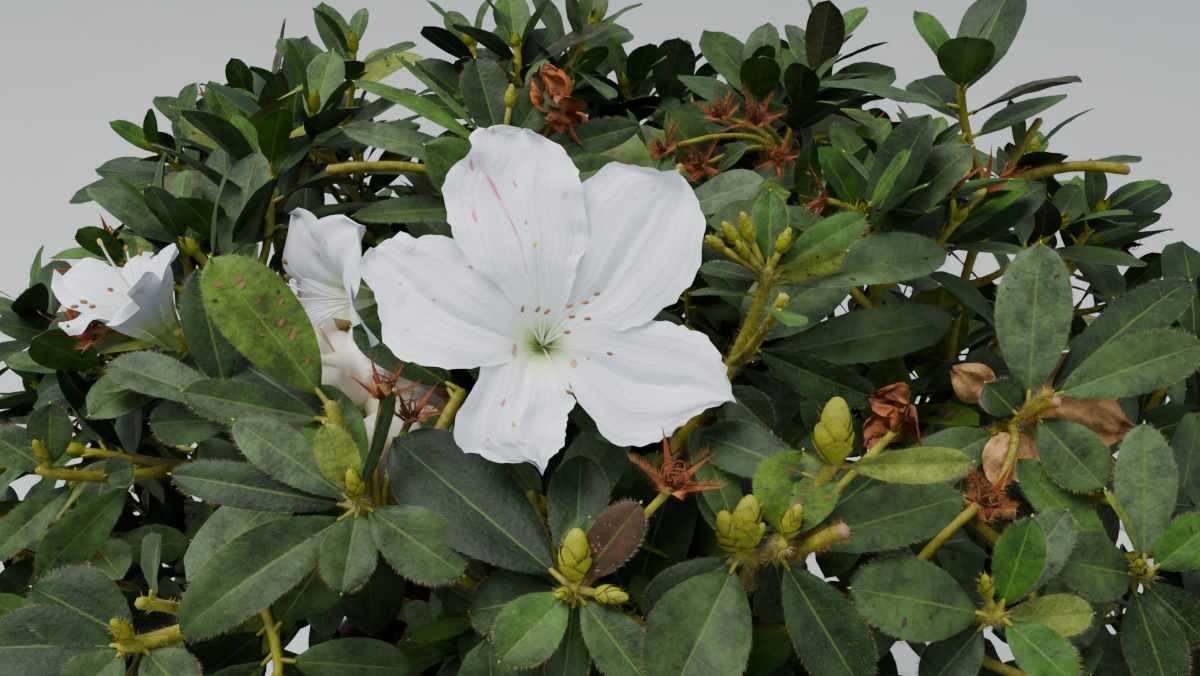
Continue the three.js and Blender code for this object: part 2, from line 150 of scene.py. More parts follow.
# Side shoots and leaves. A leaf tries some turns and pitches until it is clear of others.
SIDE_SHOOTS = 3
BACK_SIDE_SHOOTS = 4
BACK = 60
SIDE_LENGTH = (24, 38)
WHORL = (7, 9)
LEAF_LENGTH = (29, 42)
LEAF_WIDTH = 0.47
LEAF_ROWS = 8
LEAF_COLUMNS = (-1, -0.55, 0, 0, 0.55, 1)
SHOWN_LEAF_ROWS = 14
SHOWN_LEAF_COLUMNS = (-1, -0.75, -0.4, 0, 0, 0.4, 0.75, 1)
MIDRIB_WIDTH = 0.3
MIDRIB_TAPER = 0.55
LEAF_FOOT = 0.82
LEAF_END = 0.6
LEAF_CLEAR = 5.5
LEAF_TRIES = ((0, 1), (24, 1), (-24, 0.85), (0, 0.7), (44, 0.8), (-44, 0.65))
STEEPEST = 98
MOST_CROWDED = 3
SPOTS = 18
BLOTCHES = 3
POINTED_SHARE = 0.3
VEIN_LIFT = 0.08
SPOT_LIFT = 0.12

# The first leaf of a whorl: how far back it stands, its pitch, its size and how much each next one
# gains in size. Each next one also stands farther back and is pitched more.
LEAFY_WHORL = (1.5, 26, 0.5, 0.12)
BLOOM_WHORL = (8, 58, 0.8, 0.05)
NEXT_BACK = 2.3
NEXT_PITCH = 8.5

# The tints of the leaves, each with the chance up to which it is dealt
YOUNG_TINTS = ((0.35, "young"), (1, "fresh"))
UPRIGHT_TINTS = ((0.45, "fresh"), (1, "mid"))
OLD_TINTS = (
    (0.04, "purple"), (0.08, "yellow"), (0.12, "spotted"), (0.24, "grey"), (0.55, "dark"), (1, "mid"),
)
UPRIGHT = 45

# Space that the growth leaves round and over the pot
POT_SPACE = 145
POT_LIFT = 3

# Hairs: how many on a leaf's margin and surface, how many to a millimetre of twig and how long, and
# how broad they are at their roots
LEAF_HAIRS = (16, 2)
SHOWN_LEAF_HAIRS = (300, 380)
TWIG_HAIRS = (2.2, 1.5)
SHOWN_TWIG_HAIRS = (30, 1.8)
SHOOT_HAIR_LENGTH = 1.5
STEM_HAIR = 0.12
LEAF_HAIR = 0.055
SEPAL_HAIR = 0.085
BUD_HAIR = 0.11

# Space kept round petals, and the margin in depth and the widths in the picture that keep what is
# shown in view
PETAL_CLEAR = 3.5
SIGHT_MARGIN = 3
WIDE_VIEW = 22
NARROW_VIEW = 14
SHOOT_VIEW = 12

# Blooms
PETAL_ROWS = 22
PETAL_COLUMNS = 19
BLOOM_RADIUS = 38
THROAT_KINDS = ("petal_cream", "petal_pale", "petal_green", "petal_throat")
STAMENS = 9
FLECK_LIFT = 0.22
DRY_ROWS = 25
DRY_COLUMNS = 21
SEPAL_PLACES = np.array((0, 0.2, 0.45, 0.72, 1.0))
SEPAL_WIDTHS = np.array((0.75, 0.8, 0.5, 0.26, 0.03))
SPENT_SHARE = 0.24
SPENT_CLEAR = 8
SPENT_PLACE = 0.72

# The camera stands where the photograph was taken, close above the front of the crown
CAMERA_PLACE = np.array((0.0, -257.0, 626.0))
CAMERA_DOWN = 35
CAMERA_WIDE = 60
SENSOR_WIDTH = 36
PICTURE_MIDDLE = (600, 338)
FOCAL_LENGTH = 600 / math.tan(math.radians(CAMERA_WIDE / 2))

# What the photograph shows on its nearest shoots. A leaf is given by where its tip is seen in the
# picture, how much nearer the tip is than its root, its width, its roll, how far back on the shoot
# it stands and its tint. A bud is given by where its tip is seen and its length. A spray with an
# end of its own stands on a spur of the shoot.
SHOWN_SPRAYS = (
    {
        "shoot": 4,
        "leaves": (
            (771, 191, -4, 7.5, 0, 1, "young"), (867, 216, 0, 8, 10, 2, "fresh"),
            (848, 252, 7, 6.5, 48, 3, "yellow"), (949, 254, -7, 12.5, -12, 5, "grey"),
            (702, 266, -10, 6, 30, 4, "dark"), (690, 294, -8, 6, 55, 8, "mid"),
            (878, 398, 2, 10, 42, 22, "dark"), (955, 321, -16, 13, 0, 28, "mid"),
            (770, 432, 8, 10, 10, 34, "dark"),
        ),
        "buds": ((723, 222, 6), (742, 212, 7), (706, 236, 5), (790, 228, 6), (736, 240, 5)),
    },
    {
        "shoot": 5,
        "leaves": (
            (323, 424, 5, 8, 0, 2, "yellow"), (463, 576, 4, 13, 0, 3, "mid"),
            (342, 592, 9, 10.5, 0, 4, "mid"), (231, 421, -2, 10, 0, 6, "grey"),
            (168, 476, 2, 9, 0, 7, "dark"), (174, 630, 12, 15, 0, 6, "mid"),
            (393, 391, 0, 6, 66, 3, "mid"), (317, 382, -8, 12, 0, 8, "fresh"),
        ),
        "buds": ((350, 470, 8),),
    },
    {
        "shoot": 5,
        "from": 0.5,
        "end": (330, 404, -4),
        "leaves": (
            (209, 257, 4, 16, 8, 1, "spotted"), (182, 392, -6, 9, -20, 4, "mid"),
            (225, 352, -16, 12, 0, 6, "dark"),
        ),
    },
    {
        "shoot": 5,
        "from": 0.5,
        "end": (226, 402, -14),
        "leaves": (
            (196, 268, 0, 10.5, -8, 1, "dark"), (106, 364, -2, 10.5, 24, 3, "grey"),
            (150, 424, -6, 10, -10, 5, "mid"),
        ),
    },
    {
        "shoot": 5,
        "from": 0.5,
        "end": (462, 392, -28),
        "leaves": (
            (351, 328, 4, 9.5, 0, 0, "dark"), (392, 300, -10, 9, 0, 2, "mid"),
            (512, 452, -6, 9, 0, 3, "dark"), (428, 440, 2, 8, 0, 4, "mid"),
        ),
    },
    {
        "shoot": 6,
        "leaves": (
            (393, 438, -18, 20, 6, 3, "deep"), (500, 660, 6, 12, 0, 2, "fresh"),
            (558, 700, 6, 9, -30, 4, "dark"), (652, 692, 7, 10.5, 0, 3, "mid"),
            (581, 454, -13, 12, 0, 6, "dark"), (589, 519, -3, 8, 0, 1, "fresh"),
            (642, 504, 3, 9, 10, 1, "brown"), (470, 610, -6, 13, 0, 8, "dark"),
        ),
        "buds": ((577, 530, 11), (628, 598, 7), (556, 596, 5)),
    },
    {
        "shoot": 7,
        "leaves": (
            (804, 451, -2, 16, 0, 2, "spotted"), (965, 497, -6, 12.5, 0, 4, "mid"),
            (786, 622, -8, 12, 0, 7, "dark"), (862, 692, 3, 14, 0, 5, "dark"),
            (905, 455, -14, 10, 0, 12, "dark"),
        ),
        "buds": ((800, 505, 8),),
    },
    {
        "shoot": 7,
        "from": 0.62,
        "end": (735, 552, 0),
        "leaves": (
            (668, 706, 11, 19, 0, 2, "mid"), (643, 616, 0, 9.5, 0, 3, "dark"),
            (697, 426, -12, 9, 20, 4, "mid"), (720, 470, -16, 13, 0, 7, "dark"),
        ),
        "buds": ((752, 496, 11), (722, 512, 9), (764, 524, 8)),
    },
    {
        "shoot": 7,
        "from": 0.5,
        "end": (838, 458, 2),
        "leaves": (
            (974, 460, 0, 7, 30, 2, "yellow"), (700, 432, -14, 11, 0, 6, "dark"),
        ),
        "buds": ((838, 398, 13),),
    },
    {
        "shoot": 8,
        "leaves": (
            (1033, 516, 3, 9, 6, 1, "young"), (1076, 684, 10, 10, 0, 1, "young"),
            (848, 590, 4, 16, 0, 3, "mid"), (1068, 511, -9, 10, 0, 4, "grey"),
            (925, 692, 0, 10, 0, 5, "dark"), (1094, 612, -3, 8.5, 30, 4, "yellow"),
        ),
        "buds": ((985, 575, 6),),
    },
    {
        "shoot": 9,
        "leaves": (
            (1144, 423, -2, 12, 6, 2, "grey"), (1053, 559, 10, 14, -10, 3, "mid"),
            (1216, 520, 2, 10, 10, 1, "young"), (1104, 489, 0, 5.5, 60, 2, "yellow"),
            (1207, 642, 2, 10, 0, 4, "dark"), (1018, 458, -10, 10, 0, 7, "fresh"),
            (1168, 692, 4, 12, 0, 6, "dark"),
        ),
        "buds": ((1140, 560, 6),),
    },
    {
        "shoot": 10,
        "leaves": (
            (1038, 242, 0, 16, -6, 9, "grey"), (1206, 345, 2, 13, 0, 3, "mid"),
            (1105, 489, 9, 13, 12, 8, "mid"), (986, 384, -2, 9, 0, 12, "dark"),
            (1188, 275, -12, 12, 0, 7, "dark"), (905, 480, -2, 12, 0, 18, "mid"),
        ),
    },
    {
        "shoot": 11,
        "leaves": (
            (476, 58, -2, 12.5, 0, 3, "dark"), (556, 72, 0, 10, 12, 4, "mid"),
            (350, 82, 2, 7.5, 40, 5, "fresh"), (394, 55, -2, 5, 55, 3, "fresh"),
            (424, 145, 16, 16, 0, 24, "fresh"), (640, 125, -2, 9, 10, 6, "dark"),
            (340, 128, 2, 8, 10, 9, "grey"), (352, 216, 6, 8, 10, 20, "mid"),
            (628, 168, 6, 9, 0, 14, "mid"),
        ),
        "buds": ((512, 84, 6),),
    },
    {
        "shoot": 14,
        "leaves": (
            (50, 404, 2, 10, 0, 3, "mid"), (-12, 432, 2, 10, 0, 4, "mid"),
            (134, 466, 2, 7.5, 30, 16, "grey"), (-14, 560, 6, 9, 0, 12, "mid"),
            (37, 577, 6, 12, 0, 26, "fresh"), (148, 490, -6, 11, 0, 30, "mid"),
        ),
        "buds": ((34, 440, 6),),
    },
    {
        "shoot": 15,
        "leaves": (
            (32, 586, 0, 16, 0, 6, "dark"), (-24, 648, 6, 15, 0, 3, "dark"),
            (70, 702, 8, 11, 0, 2, "mid"), (190, 700, 4, 11, 0, 5, "mid"),
        ),
        "buds": ((112, 620, 7),),
    },
)

# Shoots that the photograph shows thicker than most, by number, with their radius
SHOWN_THICKNESS = {4: 1.9, 10: 1.9, 14: 1.8, 15: 1.85}

# The blooms behind the nearest one, by their shoot: how they head and how wide they open. A bloom
# with a place of its own stands on a spur of its shoot.
SHOWN_BLOOMS = {
    1: {"heading": (-0.8, -0.5, 0.2), "radius": 26, "rise": 0, "wilted": 0},
    2: {"heading": (-0.35, -0.15, 0.85), "radius": 17, "rise": 9, "wilted": 0, "at": (184, 352, 4)},
    3: {"heading": (0.3, -0.4, 0.85), "radius": 24, "rise": 0, "wilted": 1, "at": (356, 418, -13)},
}

# Spent blossom that the photograph shows: shoot, place in the picture, how much nearer than the
# shoot's end, size and kind
SHOWN_REMAINS = (
    (6, 671, 488, 2, 9.5, "star"),
    (5, 384, 398, -12, 9, "star"),
    (5, 410, 420, -16, 8, "star"),
    (10, 990, 502, 4, 10, "star"),
    (7, 906, 420, -22, 10, "crumpled"),
    (11, 560, 112, -4, 12, "crumpled"),
    (2, 96, 336, 8, 10, "star"),
    (2, 112, 322, 6, 9, "star"),
    (12, 664, 150, 6, 8, "star"),
    (12, 700, 168, 4, 9, "star"),
    (12, 757, 122, 8, 10, "star"),
    (12, 778, 160, 10, 8, "star"),
    (12, 722, 118, -4, 9, "star"),
)

# Papery petals that the photograph shows: shoot, place of their foot in the picture, how much
# nearer than the shoot's end, size, and the ways they point there, in degrees up from the right
SHOWN_PAPER = (
    (10, 1032, 408, -10, 22, (-12, 20)),
    (10, 1012, 434, -10, 13, (-104, -66)),
    (10, 994, 396, -18, 12, (150,)),
)

# Stems with a cut end that the photograph shows: shoot, place along it, end in the picture, how
# much nearer than the shoot's end, radius
CUT_STEMS = (
    (7, 0.6, 843, 531, 4, 1.6),
    (16, 0.7, 1126, 170, 4, 1.5),
    (10, 0.8, 1056, 402, 3, 1.3),
    (11, 0.75, 330, 170, 4, 1.4),
)

# The bloom nearest the camera: its scale, how far its face lies before its foot, how finely its
# petals are divided, and the points along both sides of each petal, in millimetres from the throat,
# x to the right and y up in the bloom's face. A petal also has its height over the others, how far
# its tip rises, how far it tilts, how its edges rise, its pleats, and its ruffle as height, number
# of waves and phase.
NEAREST_SCALE = 0.933
NEAREST_RISE = 15
NEAREST_ROWS = 40
NEAREST_COLUMNS = 35
NEAREST_PETALS = (
    {
        "left": (
            (0.8, 1), (6, 9), (8.5, 17.1), (10.8, 21.5), (10.1, 26), (9.8, 30), (8.5, 35.1),
            (6.1, 39.9), (2.5, 42.4), (-2.4, 44),
        ),
        "right": (
            (-0.8, 1), (-6, 9), (-8.4, 12.6), (-13, 16), (-16.2, 20.2), (-18.6, 26), (-19.7, 32),
            (-17.6, 37), (-13.2, 39.4), (-13.8, 43), (-11, 45.2), (-6.8, 45.3), (-2.4, 44),
        ),
        "stack": 3.4, "tip": 2.5, "cant": -0.4, "edge": 1.2, "pleat": 0.8, "ruffle": (1.4, 2.4, 0.3),
    },
    {
        "left": (
            (1.2, 0), (9, 3.6), (12.8, 3.1), (16.2, 2.1), (19.9, 3.4), (23.1, 4.4), (25, 6.4),
            (29, 8.8), (31.6, 11.7), (34, 15.4), (34.4, 21.8), (35.5, 25), (33.5, 31.9), (31.6, 34.3),
            (30, 36.2),
        ),
        "right": (
            (0.8, 1.2), (5, 17), (7.4, 29), (9.3, 33.5), (12.8, 35.6), (15.2, 37.9), (19.9, 37.2),
            (24.2, 35.9), (28.5, 35.2), (30, 36.2),
        ),
        "stack": 1.6, "tip": -1.5, "cant": 0.9, "edge": 0.7, "pleat": 0.55, "ruffle": (1.0, 1.7, 1.9),
    },
    {
        "left": (
            (0.8, -1), (4.4, -4.4), (6, -8.5), (7.4, -12.2), (10.4, -15.4), (11.6, -18), (14.1, -20.8),
            (17, -21.6), (23.7, -21.2), (27.4, -18.8), (31.1, -16.2), (36.6, -13.4), (38.9, -12.8),
            (40.9, -13.4),
        ),
        "right": (
            (1.2, 0.4), (7.2, 3.4), (13.6, 4.9), (21.5, 4.6), (25.3, 4.5), (29.5, 3.7), (34.8, 1.1),
            (37.5, -2.1), (38.8, -6), (40.4, -11), (40.9, -13.4),
        ),
        "stack": 0.4, "tip": 0.5, "cant": -0.5, "edge": 0.4, "pleat": 0.8, "ruffle": (1.0, 1.5, 4.0),
    },
    {
        "left": (
            (-1.5, 0.8), (-7, -1), (-12, -2.6), (-13.6, -8), (-16.2, -11.7), (-17.9, -15.4),
            (-18.1, -19.6), (-16.6, -22), (-13.6, -22.4), (-11.4, -23.2), (-9.4, -24.8), (-6.6, -24.6),
            (-3.5, -24), (-1.4, -24.9), (-0.2, -27.4),
        ),
        "right": (
            (0.6, -1), (3.4, -3.4), (5.8, -6.5), (5.9, -9), (7.2, -11.8), (5.4, -14.9), (4.8, -17.6),
            (4, -21.3), (1, -24), (-0.2, -27.4),
        ),
        "stack": 0, "tip": -1.0, "cant": 0.6, "edge": 1.4, "pleat": 1.7, "ruffle": (1.6, 2.1, 2.6),
    },
    {
        "left": (
            (-0.8, 1), (-8, 12), (-13, 17.6), (-16.8, 22.2), (-19, 22.9), (-22, 23.5), (-26, 22.3),
            (-28.7, 25), (-30.4, 23.4), (-34.8, 20.9),
        ),
        "right": (
            (-1, -0.4), (-5, -3.2), (-9, -4.2), (-13, -4.4), (-17.8, -4.8), (-20.5, -4.2),
            (-25.8, -3.7), (-29.5, -2), (-32.6, 1.6), (-33.4, 8.6), (-34.3, 12.2), (-37.4, 15.4),
            (-37.4, 17.8), (-34.8, 20.9),
        ),
        "stack": 1.5, "tip": -1.2, "cant": 0.5, "edge": 0.8, "pleat": 0.9, "ruffle": (1.2, 1.9, 0.8),
    },
)

# Its flecks: petal, middle of the fleck, length, breadth, turn from upwards in degrees, kind
NEAREST_FLECKS = (
    (0, -8.8, 44.3, 1.2, 0.5, 10, "fleck"),
    (0, -13.4, 37.2, 2.1, 0.5, 4, "fleck"),
    (0, -13.6, 28.4, 2.6, 0.7, 20, "fleck_pale"),
    (0, -13.1, 26.6, 1.9, 0.8, 20, "fleck"),
    (0, -4.7, 33.4, 1.4, 0.5, 18, "fleck"),
    (0, 5.5, 30.6, 1.4, 0.7, -40, "fleck_pale"),
    (0, -2.4, 25.0, 0.9, 0.5, 30, "fleck"),
    (0, -2.6, 23.4, 0.7, 0.4, 0, "fleck_pale"),
    (1, 5.9, 14.0, 1.1, 0.6, -30, "fleck"),
    (1, 24.3, 32.4, 1.5, 0.6, -35, "fleck_pale"),
    (1, 20.2, 30.5, 0.8, 0.5, 0, "fleck_pale"),
    (2, 6.8, -4.0, 1.7, 1.3, 0, "tan"),
    (2, 9.8, -3.2, 0.9, 0.5, 70, "tan"),
    (3, -8.1, -11.9, 1.7, 0.5, -25, "fleck"),
    (3, -6.0, -16.5, 1.1, 0.7, 0, "tan"),
    (3, -11.4, -19.6, 0.6, 0.5, 0, "tan"),
    (4, -14.4, 16.5, 0.9, 0.5, 70, "fleck"),
    (4, -22.1, 9.7, 0.9, 0.4, 80, "fleck"),
    (4, -27.5, 3.7, 1.3, 0.5, 85, "fleck_pale"),
    (4, -26.2, 21.0, 3.4, 0.8, -50, "fleck_pale"),
    (4, -5.6, -1.0, 3.0, 0.8, -8, "tan"),
    (4, -29.0, 13.4, 0.5, 0.5, 0, "tan"),
)

# The streaks down its top petal: points along the streak with their widths, kind and lift
NEAREST_STREAKS = (
    (
        (
            (-11.8, 39.2), (-10.8, 36), (-9.4, 33.4), (-8.4, 31.2), (-7, 28.6), (-5.4, 25.2),
            (-4.1, 21.9), (-3.2, 18.5), (-2.7, 15),
        ),
        (0.25, 0.75, 1.15, 0.95, 0.6, 0.5, 0.42, 0.32, 0.1),
        "fleck_pale",
        0.16,
    ),
    (((-10.4, 35.2), (-9.3, 33.3), (-8.3, 31.2), (-7.6, 29.8)), (0.1, 0.55, 0.5, 0.1), "fleck", 0.24),
    (((-6.1, 26.8), (-5.0, 24.4), (-4.2, 22.2)), (0.08, 0.26, 0.06), "fleck", 0.24),
)

# Where its stamens end, in the same measure: x, y, and height over the bloom's face
NEAREST_STAMENS = (
    (-3.4, 7.1, 5),
    (-0.3, 6.9, 6),
    (1.6, 6.4, 6),
    (6.2, 7.4, 7),
    (6.6, 5.2, 7),
    (9.4, 8.0, 7),
    (9.8, 4.8, 6),
    (5.6, 2.1, 7),
    (11.8, 9.8, 6),
    (14.2, -2.4, 5),
    (5.7, -10.1, 5),
)
NEAREST_STYLE = (-0.5, 20.0, 9)

# The columns of a petal's points that carry a vein
PETAL_VEINS = (2, 4, 7, 9, 12, 14, 17, 20, 22, 25, 27, 30, 32)


# Vectors and random numbers


def unit(v):
    return v / np.linalg.norm(v)


def units(rows):
    return rows / np.linalg.norm(rows, axis=1, keepdims=True)


def any_way(rng):
    """A unit vector that points anywhere."""
    return units(rng.normal(size=(1, 3)))[0]


def square_to(axis, wanted):
    """A unit vector square to an axis, near the way that is asked for."""
    flat = wanted - axis * wanted.dot(axis)
    if np.linalg.norm(flat) < 1e-3:
        return square_to(axis, np.array((1.0, 0.0, 0.0)))
    return unit(flat)


def turned(v, axis, angle):
    """A vector turned about a unit axis, in degrees."""
    a = math.radians(angle)
    across = np.cross(axis, v)
    return v * math.cos(a) + across * math.sin(a) + axis * axis.dot(v) * (1 - math.cos(a))


def turns_round(count):
    """Evenly spread turns of a full circle."""
    return np.linspace(0, 2 * math.pi, count, endpoint=False)


def circle(turns, first, second):
    """Points of a circle of radius 1 in the plane of two unit vectors."""
    return np.outer(np.cos(turns), first) + np.outer(np.sin(turns), second)


def outwards(heading, angle):
    """A unit vector square to a bloom's heading, turned up from its right."""
    right, up = bloom_axes(heading)
    return right * math.cos(angle) + up * math.sin(angle)


def bloom_axes(heading):
    """The ways to the right and up in the face of a bloom."""
    up = square_to(heading, UP)
    return np.cross(up, heading), up


def seeded(seed):
    """Random numbers from 0 to 1 that come out as in the solids."""
    state = seed

    def draw():
        nonlocal state
        state = state * 48271 % 2147483647
        return state / 2147483647

    return draw


def between(draw, low, high):
    return low + (high - low) * draw()


def nearest_whole(value):
    return math.floor(value + 0.5)


class Curve:
    """A quadratic curve through its ends, bent towards its middle point."""

    def __init__(self, start, bend, end):
        self.start, self.bend, self.end = start, bend, end

    def point(self, t):
        return (1 - t) ** 2 * self.start + 2 * t * (1 - t) * self.bend + t * t * self.end

    def tangent(self, t):
        return unit((1 - t) * (self.bend - self.start) + t * (self.end - self.bend))

    def points(self, steps):
        return np.array([self.point(i / steps) for i in range(steps + 1)])

    def length(self):
        points = self.points(24)
        return np.linalg.norm(points[1:] - points[:-1], axis=1).sum()


# The photograph's picture


def camera_axes():
    down = math.radians(CAMERA_DOWN)
    ahead = np.array((0, math.cos(down), -math.sin(down)))
    up = np.array((0, math.sin(down), math.cos(down)))
    return ahead, np.array((1.0, 0, 0)), up


def seen_at(x, y, depth):
    """The point that is seen at a place in the picture, at a depth from the camera."""
    ahead, right, up = camera_axes()
    across = (x - PICTURE_MIDDLE[0]) / FOCAL_LENGTH
    down = (y - PICTURE_MIDDLE[1]) / FOCAL_LENGTH
    return CAMERA_PLACE + depth * (ahead + across * right - down * up)


def in_picture(points):
    """Where points are seen: x, y and depth, one row for each."""
    ahead, right, up = camera_axes()
    out = np.reshape(points, (-1, 3)) - CAMERA_PLACE
    depth = out @ ahead
    scale = FOCAL_LENGTH / np.maximum(depth, 1)
    x = PICTURE_MIDDLE[0] + scale * (out @ right)
    y = PICTURE_MIDDLE[1] - scale * (out @ up)
    return np.stack((x, y, depth), 1)


def beside(curve, x, y, nearer):
    """The point seen at a place in the picture, so much nearer than the end of a shoot."""
    return seen_at(x, y, in_picture(curve.end)[0, 2] - nearer)


class Sight:
    """Keeps account of what the photograph shows and of where petals lie, so that no other growth
    hides what is shown or runs through a petal."""

    def __init__(self):
        self.spots = []
        self.solid = []
        self.tree = None

    def block(self, points):
        """Keeps the points of a petal or a shown leaf free of other leaves and shoots."""
        self.solid += list(points.reshape(-1, 3))

    def plant_tree(self):
        """Sorts the points to be kept free, once all of them are known."""
        self.tree = kdtree.KDTree(len(self.solid))
        for i, point in enumerate(self.solid):
            self.tree.insert(point, i)
        self.tree.balance()

    def runs_through(self, points, space=PETAL_CLEAR):
        """Whether any of the points lies too near a petal or a shown leaf."""
        return any(self.tree.find(point)[2] < space for point in np.reshape(points, (-1, 3)))

    def keep(self, points, radius):
        """Keeps the view of some points free, as far round them in the picture as the radius says."""
        for x, y, depth in in_picture(points):
            self.spots.append((x, y, depth, radius))

    def hidden_by(self, points):
        """Whether any of the points stands before something that is kept in sight."""
        spots = np.array(self.spots)
        seen = in_picture(points)
        apart = np.hypot(spots[None, :, 0] - seen[:, None, 0], spots[None, :, 1] - seen[:, None, 1])
        before = seen[:, None, 2] < spots[None, :, 2] - SIGHT_MARGIN
        return bool((before & (apart < spots[None, :, 3])).any())


# The growth rule


def trunk_curve():
    foot = np.array((0.0, 0.0, GROUND))
    top = foot + (TRUNK_LEAN, 0, TRUNK_HEIGHT)
    return Curve(foot, foot + UP * TRUNK_HEIGHT / 2, top)


def trunk_radius(share):
    flare = max(0, 1 - share * TRUNK_HEIGHT / FLARE_HEIGHT)
    taper = TRUNK_RADIUS + (TRUNK_TOP - TRUNK_RADIUS) * share
    return taper + (FLARE_RADIUS - TRUNK_RADIUS) * flare * flare


def lay_out_masses():
    trunk = trunk_curve()
    masses = []
    for ring in RINGS:
        for i in range(ring["count"]):
            turn = math.radians(-90 + 360 * i / ring["count"])
            out = np.array((math.cos(turn), math.sin(turn), 0))
            middle = out * ring["radius"] + UP * ring["height"]
            root_height = ring["root"] + ring["stagger"] * ((i % 2) * 2 - 1)
            root = trunk.point(root_height / TRUNK_HEIGHT)
            tip = root + (middle - root) * BOUGH_SHARE
            length = np.linalg.norm(tip - root)
            bend = root + UP * length * BOUGH_RISE + out * length * BOUGH_REACH
            name = f"{ring['name']}_{i + 1}" if ring["count"] > 1 else ring["name"]
            masses.append({"name": name, "middle": middle, "curve": Curve(root, bend, tip), "tips": []})
    return masses


def reach_of(point):
    """How far out a point lies, as a share of the crown's reach in its direction."""
    out = np.abs((point - CROWN_CENTRE) / CROWN_HALF)
    return (out**SQUARENESS).sum() ** (1 / SQUARENESS)


def shoot_tips():
    draw = seeded(SEED)
    tips = []
    for i, (bears, at, heading) in enumerate(SHOWN_SHOOTS):
        at, heading = np.array(at, float), unit(np.array(heading, float))
        tips.append({"bears": bears, "at": at, "heading": heading, "shown": i})
    for i in range(SHOOTS):
        rise = 1 - (1 - LOWEST) * (i + 0.5) / SHOOTS
        turn = math.radians(i * GOLDEN_ANGLE + TURN_SPREAD * draw())
        level = math.sqrt(1 - rise * rise)
        way = np.array((level * math.cos(turn), level * math.sin(turn), rise))
        share = DEEP + (SHALLOW - DEEP) * draw()
        at = CROWN_CENTRE + way * share / reach_of(CROWN_CENTRE + way)
        heading = unit(way + UP * (LIFT + LIFT_SPREAD * draw()))
        bears = "bloom" if i % BLOOM_EVERY == BLOOM_FIRST else "leaves"
        if all(np.linalg.norm(tip["at"] - at) > SPACING for tip in tips):
            tips.append({"bears": bears, "at": at, "heading": heading, "shown": None})
    return tips


def deal_round(tips, base, axis, groups):
    """Deals tips into groups by their turn round an axis."""
    first = square_to(axis, UP)
    second = np.cross(axis, first)

    def turn_of(tip):
        out = tip["at"] - base
        return math.atan2(out.dot(second), out.dot(first))

    ordered = sorted(tips, key=turn_of)
    cuts = [nearest_whole(i * len(tips) / groups) for i in range(groups + 1)]
    return [ordered[a:b] for a, b in zip(cuts, cuts[1:])]


def branch(base, heading, tips, draw):
    """The twigs from a base to its tips, forking until every tip has a shoot of its own."""
    if len(tips) == 1:
        tip = tips[0]
        length = np.linalg.norm(tip["at"] - base)
        bend = tip["at"] - tip["heading"] * ARRIVAL * length
        return [{"curve": Curve(base, bend, tip["at"]), "count": 1, "tip": tip}]
    middle = sum(tip["at"] for tip in tips) / len(tips)
    end = base + (middle - base) * (FORK + FORK_SPREAD * draw())
    bend = base + heading * TWIG_BEND * np.linalg.norm(end - base)
    groups = len(tips) if len(tips) <= MOST_SHOOTS else 2 + nearest_whole(draw())
    twigs = [{"curve": Curve(base, bend, end), "count": len(tips), "tip": None}]
    onward = unit(end - bend)
    for group in deal_round(tips, end, onward, groups):
        twigs += branch(end, onward, group, draw)
    return twigs


def grow_masses():
    """The masses with their twigs. The draws for the blooms' turns come next, as in the solids."""
    masses = lay_out_masses()
    for tip in shoot_tips():
        apart = [np.linalg.norm(mass["middle"] - tip["at"]) for mass in masses]
        masses[int(np.argmin(apart))]["tips"].append(tip)
    for i, mass in enumerate(masses):
        draw = seeded(SEED + 1 + i)
        curve = mass["curve"]
        mass["twigs"] = branch(curve.end, curve.tangent(1), mass["tips"], draw)
        for twig in mass["twigs"]:
            if twig["tip"] and twig["tip"]["bears"] == "bloom":
                twig["tip"]["turn"] = 72 * draw()
    return masses


# Joined meshes


class Bundle:
    """Many small meshes gathered into one piece. A face's kind is the name of its material."""

    def __init__(self):
        self.points, self.faces, self.kinds, self.count = [], [], [], 0

    def add(self, points, faces, kind):
        points = np.asarray(points, float).reshape(-1, 3)
        faces = np.asarray(faces, int)
        if faces.shape[1] == 3:
            faces = np.hstack((faces, np.full((len(faces), 1), -1)))
        kinds = [kind] * len(faces) if isinstance(kind, str) else list(kind)
        self.points.append(points)
        self.faces.append(np.where(faces < 0, -1, faces + self.count))
        self.kinds += kinds
        self.count += len(points)

    def piece(self, name, slot, replaced=()):
        names = sorted(set(self.kinds))
        place = {kind: i for i, kind in enumerate(names)}
        points, faces = np.concatenate(self.points) * MM, np.concatenate(self.faces)
        corners = faces[faces >= 0]
        starts = np.concatenate(([0], np.cumsum((faces >= 0).sum(1))[:-1]))
        mesh = bpy.data.meshes.new(name)
        mesh.vertices.add(len(points))
        mesh.vertices.foreach_set("co", points.ravel())
        mesh.loops.add(len(corners))
        mesh.loops.foreach_set("vertex_index", corners)
        mesh.polygons.add(len(faces))
        mesh.polygons.foreach_set("loop_start", starts)
        mesh.polygons.foreach_set("material_index", [place[kind] for kind in self.kinds])
        mesh.update(calc_edges=True)
        mesh.validate()
        mesh.shade_smooth()
        for kind in names:
            mesh.materials.append(MATERIALS[kind])
        return place_piece(bpy.data.objects.new(name, mesh), replaced)


def place_piece(piece, replaced=()):
    """Puts a piece on the body root, in place of any nodes that it replaces."""
    if not piece.users_collection:
        bpy.context.scene.collection.objects.link(piece)
    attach(piece, "root")
    if replaced:
        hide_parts(*replaced)
    return piece


def grid_faces(rows, columns, closed=False):
    """Quads of a grid of points, row by row. A closed grid joins its last column to its first."""
    wide = columns if closed else columns - 1
    r, c = np.meshgrid(np.arange(rows - 1), np.arange(wide), indexing="ij")
    right = (c + 1) % columns
    a = r * columns + c
    b = r * columns + right
    return np.stack((a, b, b + columns, a + columns), -1).reshape(-1, 4)


